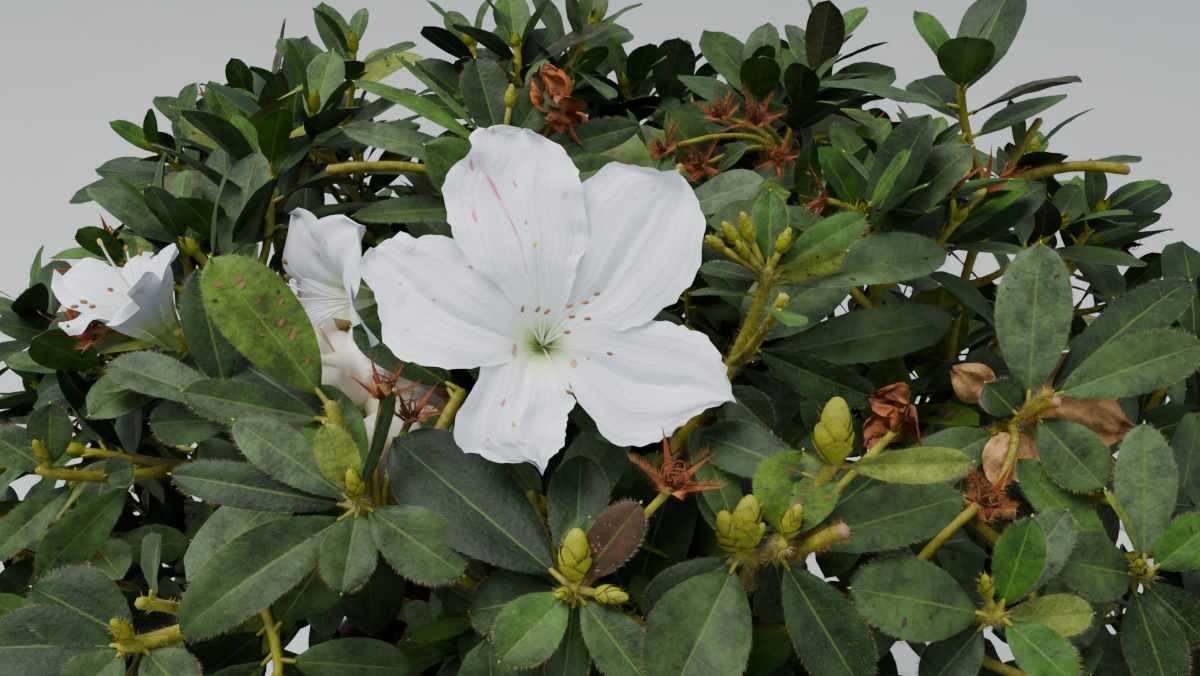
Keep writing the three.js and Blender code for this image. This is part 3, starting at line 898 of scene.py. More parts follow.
def add_tube(bundle, points, radii, sides, kind, relief=None):
    """A tube along points, closed at its far end by a point."""
    points = np.asarray(points, float)
    ways = np.gradient(points, axis=0)
    first = square_to(unit(ways[0]), np.array((0.31, 0.82, 0.47)))
    turns = turns_round(sides)
    rings = []
    for point, way, radius in zip(points, ways, radii):
        way = unit(way)
        first = square_to(way, first)
        rings.append(point + circle(turns, first, np.cross(way, first)) * radius)
    rings = np.array(rings)
    if relief:
        rings = relief(points, rings)
    end = points[-1] + unit(ways[-1]) * radii[-1] * 0.7
    last = (len(points) - 1) * sides
    cap = [(last + i, last + (i + 1) % sides, last + sides) for i in range(sides)]
    faces = grid_faces(len(points), sides, closed=True)
    cap = np.hstack((np.array(cap), np.full((sides, 1), -1)))
    bundle.add(np.vstack((rings.reshape(-1, 3), end)), np.vstack((faces, cap)), kind)


def add_band(bundle, left, right, kind):
    """A strip between two lines of as many points."""
    bundle.add(np.stack((left, right), 1), grid_faces(len(left), 2), kind)


def add_fan(bundle, ring, centre, kind):
    """Triangles that join the points round a small shape to its middle."""
    count = len(ring)
    fan = [(i, (i + 1) % count, count) for i in range(count)]
    bundle.add(np.vstack((ring, centre)), fan, kind)


def add_hairs(bundle, roots, ways, breadths, lengths, width, kind):
    """One thin triangle for each hair."""
    roots, ways = np.asarray(roots), np.asarray(ways)
    half = np.asarray(breadths) * width / 2
    tips = roots + ways * np.asarray(lengths)[:, None]
    points = np.stack((roots - half, roots + half, tips), 1)
    bundle.add(points, np.arange(3 * len(roots)).reshape(-1, 3), kind)


def bristle(bundle, points, radii, per_mm, length, rng, kind="hair"):
    """Stands bristles on a stem that runs along points."""
    steps = np.linalg.norm(points[1:] - points[:-1], axis=1)
    count = int(steps.sum() * per_mm)
    if count < 1:
        return
    place = np.searchsorted(np.cumsum(steps), rng.random(count) * steps.sum() * 0.999)
    share = rng.random((count, 1))
    axis = units(points[place + 1] - points[place])
    around = units(np.cross(axis, rng.normal(size=(count, 3))))
    radius = np.asarray(radii)[place][:, None]
    root = points[place] * (1 - share) + points[place + 1] * share + around * radius * 0.9
    way = units(around + axis * rng.uniform(0.1, 0.9, (count, 1)))
    lengths = length * rng.uniform(0.6, 1.3, count)
    add_hairs(bundle, root, way, np.cross(axis, around), lengths, STEM_HAIR, kind)


# Leaves


def leaf_grid(leaf):
    """Points of a leaf's blade. Its rows run out along the side veins, which lie a little sunk."""
    length, width = leaf["length"], leaf["width"]
    rows = SHOWN_LEAF_ROWS if "shown" in leaf else LEAF_ROWS
    columns = SHOWN_LEAF_COLUMNS if "shown" in leaf else LEAF_COLUMNS
    # Shares along the leaf and across it, where the midrib takes the columns next to the middle
    t = np.linspace(0, 1, rows + 1)[:, None]
    v = np.tile(np.array(columns, float), (rows + 1, 1))
    middle = len(columns) // 2
    v[:, middle] = ((MIDRIB_WIDTH + MIDRIB_TAPER * (1 - t)) / width)[:, 0]
    v[:, middle - 1] = -v[:, middle]
    # Rows run forward towards the edges, and the outline narrows to both ends
    s = np.clip(t + 0.14 * np.abs(v) * np.sin(math.pi * t) * (1 - 0.4 * t), 0, 1)
    widest = LEAF_FOOT / (LEAF_FOOT + LEAF_END)
    outline = (s / widest) ** LEAF_FOOT * ((1 - s) / (1 - widest)) ** LEAF_END
    across = v * width / 2 * outline
    # Sunk veins, folded halves, an arched length, a wavy edge and a twist
    sunk = np.where(np.arange(rows + 1) % 2 == 1, 1, 0)[:, None]
    relief = sunk * (1 - np.abs(v)) * np.sin(math.pi * t) + 1.6 * np.exp(-np.abs(v) * 9)
    wave = np.sin(2 * math.pi * (leaf["waves"] * s) + leaf["phase"] + np.sign(v))
    up = leaf["fold"] * np.abs(across) - leaf["arch"] * length * s**2.2
    up = up + leaf["wave"] * width * wave * v**2 - 0.022 * width * relief
    up = up - 0.05 * width * np.abs(v) ** 4
    twist = leaf["twist"] * s
    sideways = across * np.cos(twist) - up * np.sin(twist)
    lift = across * np.sin(twist) + up * np.cos(twist)
    along = length * s * (1 - 0.35 * leaf["arch"] * s)
    way, side, face = leaf["way"], leaf["side"], leaf["face"]
    grid = leaf["start"] + along[..., None] * way + sideways[..., None] * side
    return grid + lift[..., None] * face


def add_leaf(bundles, leaf, rng):
    """A leaf on its stalk, with hairs and any spots. One that the photograph shows has side veins."""
    grid = leaf_grid(leaf)
    tint = leaf["tint"]
    rows, columns = grid.shape[:2]
    kinds = np.full((rows - 1, columns - 1), f"leaf_{tint}", dtype="<U16")
    kinds[:, columns // 2 - 1] = f"midrib_{tint}"
    bundles["leaves"].add(grid, grid_faces(rows, columns), kinds.ravel())
    way, side, face = leaf["way"], leaf["side"], leaf["face"]
    stalk = np.array([leaf["root"], leaf["start"] + way * 1.5])
    add_tube(bundles["shoots"], stalk, [0.75, 0.5], 4, "shoot")
    shown = "shown" in leaf
    if shown or rng.random() < POINTED_SHARE:
        end = grid[-1, columns // 2] + way * 0.8
        middle = grid[-2, columns // 2] * 0.3 + end * 0.7
        point = [middle - side * 0.28, middle + side * 0.28, middle + face * 0.3, end]
        bundles["leaves"].add(point, [(0, 1, 3), (1, 2, 3), (2, 0, 3)], "leaf_point")
    if shown:
        add_side_veins(bundles["leaves"], grid, way, face, f"vein_{tint}")
    margin, surface = SHOWN_LEAF_HAIRS if shown else LEAF_HAIRS
    add_margin_hairs(bundles["hairs"], grid, leaf, margin, rng)
    add_surface_hairs(bundles["hairs"], grid, leaf, surface, rng)
    if tint in ("spotted", "brown"):
        add_spots(bundles["leaves"], grid, face, SPOTS, "spot", rng)
    if tint == "spotted" or leaf.get("blotched"):
        add_spots(bundles["leaves"], grid, face, BLOTCHES, "blotch", rng)


def add_side_veins(bundle, grid, way, face, kind):
    """Thin pale wedges along the sunk rows, from the midrib towards the edge."""
    rows = np.arange(1, SHOWN_LEAF_ROWS - 1, 2)
    steps = np.arange(len(rows))[:, None] * 5
    for columns in ((4, 5, 6), (3, 2, 1)):
        near, middle, far = (grid[rows, k] + face * VEIN_LIFT for k in columns)
        near_half, middle_half = way * 0.13, way * 0.08
        points = (near - near_half, near + near_half, middle + middle_half, middle - middle_half, far)
        bundle.add(np.stack(points, 1), np.array((0, 1, 2, 3)) + steps, kind)
        bundle.add(np.stack(points, 1), np.array((3, 2, 4)) + steps, kind)


def add_margin_hairs(bundle, grid, leaf, count, rng):
    way, side, face = leaf["way"], leaf["side"], leaf["face"]
    rows = rng.uniform(0.6, len(grid) - 1.3, count)
    low, share = rows.astype(int), (rows % 1)[:, None]
    edge = rng.integers(0, 2, count)
    column = np.where(edge == 1, grid.shape[1] - 1, 0)
    root = grid[low, column] * (1 - share) + grid[low + 1, column] * share
    along = units(grid[low + 1, column] - grid[low, column])
    out = np.where(edge[:, None] == 1, 1, -1) * side
    onward = way * rng.uniform(0.6, 1.6, (count, 1)) + face * rng.uniform(-0.3, 0.5, (count, 1))
    lengths = rng.uniform(0.5, 1.2, count)
    add_hairs(bundle, root, units(out + onward), along, lengths, LEAF_HAIR, "margin_hair")


def add_surface_hairs(bundle, grid, leaf, count, rng):
    way, side, face = leaf["way"], leaf["side"], leaf["face"]
    rows = rng.uniform(0.8, len(grid) - 1.3, count)
    columns = rng.uniform(0.2, grid.shape[1] - 1.2, count)
    root = on_grid(grid, rows, columns)
    lying = way + face * rng.uniform(0.15, 0.5, (count, 1)) + side * rng.uniform(-0.5, 0.5, (count, 1))
    breadth = units(np.cross(units(lying), face))
    lengths = rng.uniform(0.4, 0.9, count)
    add_hairs(bundle, root, units(lying), breadth, lengths, LEAF_HAIR, "fuzz")


def add_spots(bundle, grid, face, count, kind, rng):
    """Dead spots that lie on a leaf, away from its edge."""
    for _ in range(count):
        row, column = rng.uniform(2, len(grid) - 3), rng.uniform(0.8, grid.shape[1] - 1.8)
        size = rng.uniform(0.12, 0.36) * (1 if kind == "spot" else 1.1)
        sizes = size * rng.uniform(0.7, 1.3, SPOT_SIDES)
        turns = turns_round(SPOT_SIDES)
        ring = on_grid(grid, row + sizes * np.cos(turns) * 0.7, column + sizes * np.sin(turns))
        ring = ring + face * SPOT_LIFT
        add_fan(bundle, ring, ring.mean(0) + face * 0.03, kind)


def on_grid(grid, rows, columns):
    """Points of a grid at places between its rows and columns."""
    rows = np.clip(rows, 0, grid.shape[0] - 1.001)
    columns = np.clip(columns, 0, grid.shape[1] - 1.001)
    r, c = rows.astype(int), columns.astype(int)
    a, b = (rows - r)[:, None], (columns - c)[:, None]
    near = grid[r, c] * (1 - b) + grid[r, c + 1] * b
    far = grid[r + 1, c] * (1 - b) + grid[r + 1, c + 1] * b
    return near * (1 - a) + far * a


class Room:
    """Keeps account of where leaves lie, so that a new one can stay clear of them."""

    def __init__(self, cell):
        self.cell, self.cells = cell, {}

    def key(self, point):
        return tuple(np.floor(point / self.cell).astype(int))

    def add(self, points):
        for point in points:
            self.cells.setdefault(self.key(point), []).append(point)

    def crowding(self, points):
        """How many of the points lie close to what is there already."""
        total = 0
        for point in points:
            x, y, z = self.key(point)
            near = [
                other
                for i in (-1, 0, 1)
                for j in (-1, 0, 1)
                for k in (-1, 0, 1)
                for other in self.cells.get((x + i, y + j, z + k), ())
            ]
            if near and (np.linalg.norm(np.array(near) - point, axis=1) < self.cell).any():
                total += 1
        return total


def leaf_probes(leaf):
    """Points down the middle and the sides of a leaf, beyond its root."""
    way, side, length, width = leaf["way"], leaf["side"], leaf["length"], leaf["width"]
    spots = ((0.4, 0), (0.7, 0), (0.95, 0), (0.55, 0.7), (0.55, -0.7), (0.8, 0.4), (0.8, -0.4))
    drop = leaf["arch"] * length
    return np.array(
        [
            leaf["start"] + way * length * s + side * width / 2 * v - leaf["face"] * drop * s * s
            for s, v in spots
        ]
    )


def fits_crown(points):
    """Whether points stay within the crown's reach and clear of the pot."""
    for point in points:
        out = math.hypot(point[0], point[1])
        if reach_of(point) > REACH_LIMIT or (point[2] < POT_HEIGHT + POT_LIFT and out < POT_SPACE):
            return False
    return True


def make_leaf(curve, place, azimuth, pitch, size, draw):
    """A leaf at a place on a shoot, turned round it and pitched away from it."""
    axis = curve.tangent(place)
    root = curve.point(place)
    out = turned(square_to(axis, UP), axis, azimuth)
    way = axis * math.cos(math.radians(pitch)) + out * math.sin(math.radians(pitch))
    face = square_to(way, axis + UP * 0.8)
    length = between(draw, *LEAF_LENGTH) * size
    return {
        "root": root,
        "start": root + way * 2.6,
        "way": way,
        "face": face,
        "side": np.cross(way, face),
        "length": length,
        "width": length * LEAF_WIDTH * between(draw, 0.88, 1.12),
        "fold": between(draw, 0.08, 0.34),
        "arch": between(draw, 0.0, 0.2),
        "wave": between(draw, 0.0, 0.035),
        "waves": between(draw, 1.0, 2.2),
        "phase": 6.28 * draw(),
        "twist": between(draw, -0.3, 0.3),
    }


def leaf_tint(pitch, young, draw):
    """The tint of a leaf: young ones at the middle of a whorl are brighter, old ones darker."""
    chance = draw()
    tints = UPRIGHT_TINTS if pitch < UPRIGHT else OLD_TINTS
    if young:
        tints = YOUNG_TINTS
    return next(tint for limit, tint in tints if chance < limit)


def aimed_leaf(curve, shown, draw):
    """A leaf whose tip is seen where the photograph shows it."""
    x, y, nearer, width, roll, back, tint = shown
    root = curve.point(max(0.05, 1 - back / curve.length()))
    tip = seen_at(x, y, in_picture(root)[0, 2] - nearer)
    way = unit(tip - root)
    face = turned(square_to(way, UP * 0.5 + unit(CAMERA_PLACE - root)), way, roll)
    reach = np.linalg.norm(tip - root)
    stalk = 0.09 * reach
    arch = between(draw, 0.02, 0.2)
    way, face = unit(way + face * arch), unit(face - way * arch)
    return {
        "root": root,
        "start": root + way * stalk,
        "way": way,
        "face": face,
        "side": np.cross(way, face),
        "length": (reach - stalk) / (1 - 0.35 * arch + arch * arch),
        "width": width,
        "fold": between(draw, 0.1, 0.42),
        "arch": arch,
        "wave": between(draw, 0.01, 0.055),
        "waves": between(draw, 1.0, 2.2),
        "phase": 6.28 * draw(),
        "twist": between(draw, -0.15, 0.15),
        "tint": tint,
        "shown": True,
        "blotched": draw() < 0.3,
    }


def dress_shoot(curve, bears, room, sight, draw, scale=1.0):
    """The leaves of a shoot: a whorl at its end, small and upright in its middle."""
    length = curve.length()
    count = WHORL[0] + nearest_whole((WHORL[1] - WHORL[0]) * draw())
    if bears == "nothing":
        return []
    blooming = bears == "bloom"
    if blooming:
        count -= 3
    first_back, first_pitch, first_size, gain = BLOOM_WHORL if blooming else LEAFY_WHORL
    turn = 360 * draw()
    leaves = []
    for i in range(count):
        place = max(0.2, 1 - (first_back + NEXT_BACK * i) / length)
        pitch = first_pitch + NEXT_PITCH * i + between(draw, -5, 7)
        size = scale * min(1, first_size + gain * i)
        young = not blooming and i < 2 and draw() < 0.6
        tint = leaf_tint(pitch, young, draw)
        leaf = roomiest_leaf(curve, place, turn + i * GOLDEN_ANGLE, pitch, size, room, sight, draw)
        if leaf:
            leaf["tint"] = tint
            leaf["blotched"] = draw() < 0.12
            room.add(leaf_probes(leaf))
            leaves.append(leaf)
    return leaves


def roomiest_leaf(curve, place, azimuth, pitch, size, room, sight, draw):
    """The first leaf of a few tries that has room, or the least crowded one, if any will do."""
    best, least = None, MOST_CROWDED + 1
    for aside, ease in LEAF_TRIES:
        leaf = make_leaf(curve, place, azimuth + aside, min(pitch * ease, STEEPEST), size, draw)
        probes = leaf_probes(leaf)
        if not fits_crown(probes) or sight.hidden_by(probes) or sight.runs_through(leaf_grid(leaf)):
            continue
        crowding = room.crowding(probes)
        if crowding < least:
            best, least = leaf, crowding
        if crowding == 0:
            break
    return best


def spur(curve, place, end):
    """A finer shoot from a place on a shoot to an end of its own."""
    base = curve.point(place)
    reach = np.linalg.norm(end - base)
    return Curve(base, base + unit(curve.tangent(place) + unit(end - base)) * reach * 0.5, end)


def side_shoots(curve, count, sight, draw):
    """Finer shoots that leave a twig or a bough and turn up beside its end."""
    length = curve.length()
    turn = 360 * draw()
    shoots = []
    for i in range(count):
        place = between(draw, 0.35, 0.72)
        axis = curve.tangent(place)
        out = turned(square_to(axis, UP), axis, turn + 360 / count * i + between(draw, -25, 25))
        base = curve.point(place)
        reach = between(draw, *SIDE_LENGTH) * min(1, 0.5 + length / 100)
        bend = base + (axis * 0.45 + out * 0.9) * reach * 0.5
        end = bend + (axis * 0.75 + out * 0.45 + UP * 0.25) * reach * 0.6
        side = Curve(base, bend, end)
        points = side.points(4)
        if fits_crown([end]) and not sight.hidden_by(points) and not sight.runs_through(points):
            shoots.append(side)
    return shoots


# Blooms


def petal_grid(bloom, petal):
    """Points of one petal, from the foot of the bloom's tube to its tip."""
    heading, at = bloom["heading"], bloom["at"]
    out = outwards(heading, math.radians(petal["angle"]))
    across = np.cross(heading, out)
    u = np.linspace(0, 1, PETAL_ROWS)[:, None]
    v = np.linspace(-1, 1, PETAL_COLUMNS)[None, :]
    # The tube and the open part follow a cubic curve, as distance out and height
    reach, rise = petal["reach"], petal["rise"]
    legs = ((2.0, 0), (3.2, 15), (reach * 0.42, 21 + rise * 0.3), (reach, 15 + rise))
    b = ((1 - u) ** 3, 3 * u * (1 - u) ** 2, 3 * u * u * (1 - u), u**3)
    r = sum(k * leg[0] for k, leg in zip(b, legs))
    z = sum(k * leg[1] for k, leg in zip(b, legs))
    # The width grows to the shoulder and closes round the tip
    shoulder = petal["shoulder"]
    inner = np.sin(math.pi / 2 * np.clip(u / shoulder, 0, 1) ** 1.35)
    outer = np.sqrt(np.clip(1 - (np.clip(u - shoulder, 0, 1) / (1 - shoulder)) ** 2.4, 0, 1))
    half = 1.5 + (petal["width"] / 2 - 1.5) * inner * outer
    half = np.where(u > shoulder, petal["width"] / 2 * outer, half)
    side = v * half
    open_part = np.clip((u - 0.25) / 0.75, 0, 1)
    draw_in = petal["notch"] * open_part**6 * np.exp(-((v / 0.35) ** 2))
    edge = np.abs(v) ** 1.6 * open_part
    # Ruffled edges, a groove down the middle, a cupped face, fine ribs and a curled tip
    phase = petal["phase"]
    ruffle = np.sin(2 * math.pi * petal["ruffles"] * u + phase + 1.9 * np.sign(v))
    ripple = np.sin(9 * v + 2.5 * phase + 4 * u) * open_part**2
    lift = petal["ruffle"] * edge * ruffle + 0.3 * petal["ruffle"] * ripple
    lift = lift - 1.6 * np.exp(-((v / 0.16) ** 2)) * np.sin(math.pi * u) ** 2
    lift = lift + petal["cup"] * v**2 * open_part + 0.9 * v * open_part
    lift = lift + 0.1 * np.cos(v * math.pi * 6.5) * open_part * (1 - 0.5 * u)
    lift = lift + petal["curl"] * open_part**3
    r = r + 0 * v - draw_in
    z = z + lift
    side = side + petal["sway"] * open_part**2
    grid = at + r[..., None] * out + side[..., None] * across
    return grid + z[..., None] * heading


def usual_petals(bloom, draw):
    """Five petals, evenly spread but for small differences, one edge of each over the next."""
    wilted = bloom["wilted"]
    return [
        {
            "angle": bloom["turn"] + 72 * i + between(draw, -5, 5),
            "reach": bloom["radius"] * between(draw, 0.92, 1.06),
            "width": bloom["radius"] * between(draw, 0.86, 1.0),
            "rise": bloom["rise"] + between(draw, -4, 5) - 9 * wilted,
            "shoulder": between(draw, 0.62, 0.72),
            "notch": between(draw, 0, 2.5),
            "ruffle": between(draw, 1.2, 2.6) + 3 * wilted,
            "ruffles": between(draw, 1.2, 2.4) + wilted,
            "phase": 6.28 * draw(),
            "cup": between(draw, -1.5, 3.0) + 4 * wilted,
            "curl": between(draw, -5, 2) - 4 * wilted,
            "sway": between(draw, -2.5, 2.5),
        }
        for i in range(5)
    ]


def petal_kinds(wilted, rng):
    """The kind of each face of a petal: green in the throat, and worn at the edge of a wilted one."""
    depth = (np.arange(PETAL_ROWS - 1) + 0.5) / (PETAL_ROWS - 1)
    usual = "petal_old" if wilted else "petal"
    kinds = np.full((PETAL_ROWS - 1, PETAL_COLUMNS - 1), usual, dtype="<U16")
    if not wilted:
        for limit, kind in zip((0.50, 0.42, 0.33, 0.22), THROAT_KINDS):
            kinds[depth < limit] = kind
    else:
        worn = rng.integers(1, 4)
        kinds[-worn:] = "petal_tan"
        kinds[-1:] = "petal_brown"
        kinds[10:, rng.choice((0, -1))] = "petal_tan"
    return kinds.ravel()


def raised_to(grid, normal, points, over=FLECK_LIFT):
    """Points moved along a petal's normal until they lie a little over its nearest points."""
    surface = grid.reshape(-1, 3)
    flat = surface - np.outer(surface @ normal, normal)
    raised = []
    for point in points:
        apart = np.linalg.norm(flat - (point - normal * point.dot(normal)), axis=1)
        near = np.argsort(apart)[:3]
        weights = 1 / (apart[near] + 0.05)
        height = (surface[near] @ normal * weights).sum() / weights.sum()
        raised.append(point + normal * (height - point.dot(normal) + over))
    return np.array(raised)


def add_fleck(bundle, grid, normal, ring, kind):
    """A fleck that lies on a petal."""
    raised = raised_to(grid, normal, ring)
    add_fan(bundle, raised, raised.mean(0), kind)


def add_streak(bundle, grid, normal, line, widths, kind, over):
    """A narrow coloured band that runs along a petal."""
    ways = units(np.gradient(line, axis=0))
    half = np.cross(ways, normal) * np.array(widths)[:, None] / 2
    left, right = raised_to(grid, normal, line - half, over), raised_to(grid, normal, line + half, over)
    add_band(bundle, left, right, kind)


def oval(centre, along, across, length, breadth):
    """Points round a long oval, one end blunter than the other."""
    return [
        centre
        + along * (length / 2 * math.cos(a))
        + across * (breadth / 2 * math.sin(a) * (1 - 0.3 * math.cos(a)))
        for a in turns_round(FLECK_SIDES)
    ]


def along_side(points, rows):
    """Evenly spread points along a side of a petal, its corners a little rounded."""
    points = np.array(points, float)
    steps = np.concatenate(([0], np.cumsum(np.linalg.norm(np.diff(points, axis=0), axis=1))))
    spread = np.linspace(0, steps[-1], rows)
    line = np.stack([np.interp(spread, steps, points[:, k]) for k in (0, 1)], 1)
    smooth = line.copy()
    smooth[1:-1] = (line[:-2] + 2 * line[1:-1] + line[2:]) / 4
    return smooth


def shown_petal_grid(bloom, petal, rng):
    """Points of a petal of the nearest bloom between its two sides, and how far they are from the
    throat."""
    rows, columns = NEAREST_ROWS, NEAREST_COLUMNS
    left, right = along_side(petal["left"], rows), along_side(petal["right"], rows)
    wrinkle = 0.21 * np.minimum(1, np.arange(rows) / 12)[:, None]
    left[1:-1] += (wrinkle * rng.normal(size=left.shape))[1:-1]
    right[1:-1] += (wrinkle * rng.normal(size=right.shape))[1:-1]
    v = np.linspace(-1, 1, columns)[None, :]
    u = np.linspace(0, 1, rows)[:, None]
    middle, half = (left + right) / 2, (right - left) / 2
    flat = middle[:, None, :] + v[..., None] * half[:, None, :]
    r = np.hypot(flat[..., 0], flat[..., 1])
    open_part = np.clip((r - 6) / 16, 0, 1)
    open_part = open_part * open_part * (3 - 2 * open_part)
    # The throat sinks in, and the open part is stacked, tilted, ruffled, grooved and pleated
    size, waves, phase = petal["ruffle"]
    z = -16 * np.exp(-r / 4.2) - 0.0022 * np.maximum(r - 12, 0) ** 2
    z = z + petal["stack"] * open_part + petal["tip"] * u**3
    z = z + petal["cant"] * v * 2 * open_part + petal["edge"] * v**2 * open_part
    ruffle = np.sin(2 * math.pi * waves * u + phase + 2.1 * np.sign(v)) * np.abs(v) ** 1.7
    ruffle = ruffle + 0.45 * np.sin(2 * math.pi * 2.7 * waves * u + 3 * phase + np.sign(v)) * np.abs(v) ** 4
    z = z + size * ruffle * open_part
    z = z - 1.3 * np.exp(-((v / 0.09) ** 2)) * np.sin(math.pi * np.clip(u * 1.15, 0, 1))
    pleat = np.cos(5.4 * v + 2 * phase + 1.5 * u) + 0.5 * np.cos(11 * v - phase + 3 * u)
    z = z + petal["pleat"] * pleat * open_part * (1 - 0.4 * u)
    z = z + 0.07 * np.cos(34 * v + 4 * np.sin(3 * u + phase)) * open_part
    right_way, up_way = bloom_axes(bloom["heading"])
    plane = bloom["at"] + bloom["heading"] * NEAREST_RISE
    grid = plane + NEAREST_SCALE * (flat[..., :1] * right_way + flat[..., 1:] * up_way)
    return grid + (NEAREST_SCALE * z)[..., None] * bloom["heading"], r


def kinds_by_spread(spread):
    """The kind of each face of a petal by how far it lies from the throat."""
    middle = (spread[:-1, :-1] + spread[1:, 1:]) / 2
    kinds = np.full(middle.shape, "petal", dtype="<U16")
    for limit, kind in zip((9.5, 6.5, 4.2, 2.4), THROAT_KINDS):
        kinds[middle < limit] = kind
    return kinds.ravel()


def add_petal_veins(bundle, grid, heading):
    """Fine veins that run out along a petal, the middle one longer and wider."""
    for column in PETAL_VEINS:
        first, last, width = 9 + column % 4, 36 - column % 5, 0.17
        if column == NEAREST_COLUMNS // 2:
            first, last, width = 6, 37, 0.34
        line = grid[first:last, column] + heading * 0.05
        across = units(grid[first:last, column + 1] - grid[first:last, column - 1])
        half = across * np.linspace(width, 0.05, last - first)[:, None] / 2
        add_band(bundle, line - half, line + half, "petal_vein")


def add_nearest_bloom(bundles, bloom, sight, rng):
    """The bloom nearest the camera, with the petals, flecks and stamens that the photograph shows."""
    heading = bloom["heading"]
    right_way, up_way = bloom_axes(heading)
    plane = bloom["at"] + heading * NEAREST_RISE

    def spot(x, y, z=0.0):
        return plane + NEAREST_SCALE * (right_way * x + up_way * y + heading * z)

    grids = []
    for petal in NEAREST_PETALS:
        grid, spread = shown_petal_grid(bloom, petal, rng)
        bundles["petals"].add(grid, grid_faces(*grid.shape[:2]), kinds_by_spread(spread))
        add_petal_veins(bundles["petals"], grid, heading)
        sight.keep(grid[4::5, 2::6], WIDE_VIEW)
        sight.block(grid[2::3, ::3])
        grids.append(grid)
    for petal, x, y, length, breadth, turn, kind in NEAREST_FLECKS:
        along = turned(up_way, heading, turn)
        ring = oval(spot(x, y), along, np.cross(along, heading), length, breadth)
        add_fleck(bundles["petals"], grids[petal], heading, ring, kind)
    for points, widths, kind, over in NEAREST_STREAKS:
        line = np.array([spot(x, y) for x, y in points])
        add_streak(bundles["petals"], grids[0], heading, line, np.array(widths), kind, over)
    foot = spot(0, 0, -11)
    for x, y, z in NEAREST_STAMENS:
        out = right_way * x * 0.25 + up_way * y * 0.25
        curve = Curve(foot + out * 0.2, spot(x * 0.45, y * 0.45, z * 0.7), spot(x, y, z))
        add_stamen(bundles["stamens"], curve, 0.17, "filament", "anther")
    x, y, z = NEAREST_STYLE
    curve = Curve(foot, spot(0.4 * x, 0.4 * y, 0.3 * z), spot(x, y, z))
    add_stamen(bundles["stamens"], curve, 0.23, "style", "stigma")
    add_calyx(bundles, bloom["at"], heading, 6.0, "calyx", rng)


def add_stamen(bundle, curve, radius, kind, end_kind):
    """A stamen or the style of the nearest bloom, with what it bears at its end."""
    points = curve.points(8)
    add_tube(bundle, points, np.linspace(radius * 1.2, radius * 0.8, 9), 5, kind)
    way = unit(curve.end - curve.bend)
    lying = unit(way + 0.9 * square_to(way, np.array((0.7, 0.2, -0.4))))
    half_length = 0.75 if end_kind == "anther" else 0.6
    add_blob(bundle, curve.end, lying, half_length, radius * 2.3, end_kind)


def add_bloom(bundles, bloom, sight, draw, rng):
    """A bloom of the usual form, open or wilted, or the nearest one."""
    heading, at = bloom["heading"], bloom["at"]
    if bloom["nearest"]:
        add_nearest_bloom(bundles, bloom, sight, rng)
        return
    faces = grid_faces(PETAL_ROWS, PETAL_COLUMNS)
    grids = [petal_grid(bloom, petal) for petal in usual_petals(bloom, draw)]
    for grid in grids:
        bundles["petals"].add(grid, faces, petal_kinds(bloom["wilted"], rng))
        sight.block(grid[3::2, ::2])
    for _ in range(0 if bloom["wilted"] else 3 + int(5 * draw())):
        grid = grids[int(5 * draw()) % 5]
        row, column = int(between(draw, 9, PETAL_ROWS - 2)), int(between(draw, 3, PETAL_COLUMNS - 3))
        along = unit(grid[row + 1, column] - grid[row, column])
        size = between(draw, 0.8, 2.0)
        kind = "fleck" if draw() < 0.5 else "fleck_pale"
        ring = oval(grid[row, column], along, np.cross(along, heading), size * 1.8, size * 0.7)
        add_fleck(bundles["petals"], grid, heading, ring, kind)
    if not bloom["wilted"]:
        add_stamens(bundles["stamens"], bloom, draw)
    add_calyx(bundles, at + heading * 0.5, heading, 6.0, "calyx", rng)


def add_stamens(bundle, bloom, draw):
    """Fine stamens with brown ends round a longer style with a yellow one."""
    heading = bloom["heading"]
    for i in range(STAMENS + 1):
        is_style = i == STAMENS
        angle = math.radians(bloom["turn"] + 360 * i / STAMENS + between(draw, -12, 12))
        spread = 3 if is_style else between(draw, 5, 12)
        length = between(draw, 24, 27) if is_style else between(draw, 13, 20)
        out = outwards(heading, math.pi / 2 if is_style else angle)
        foot = bloom["at"] + heading * 9 + out
        end = foot + heading * length + out * spread
        bend = foot + heading * length * 0.6
        points = Curve(foot, bend, end).points(6)
        radii = np.linspace(0.3, 0.2, 7) * (1.35 if is_style else 1)
        add_tube(bundle, points, radii, 5, "style" if is_style else "filament")
        add_blob(bundle, end, unit(end - bend), 1.0, 0.55, "stigma" if is_style else "anther")


def add_blob(bundle, at, axis, half_length, radius, kind, rows=5, sides=7):
    """A small egg-shaped body."""
    first = square_to(axis, np.array((0.3, 0.5, 0.8)))
    ring = circle(turns_round(sides), first, np.cross(axis, first))
    points = []
    for i in range(rows + 1):
        a = math.pi * (i / rows)
        points.append(at - axis * half_length * math.cos(a) + ring * max(math.sin(a), 0.02) * radius)
    bundle.add(np.array(points), grid_faces(rows + 1, sides, closed=True), kind)


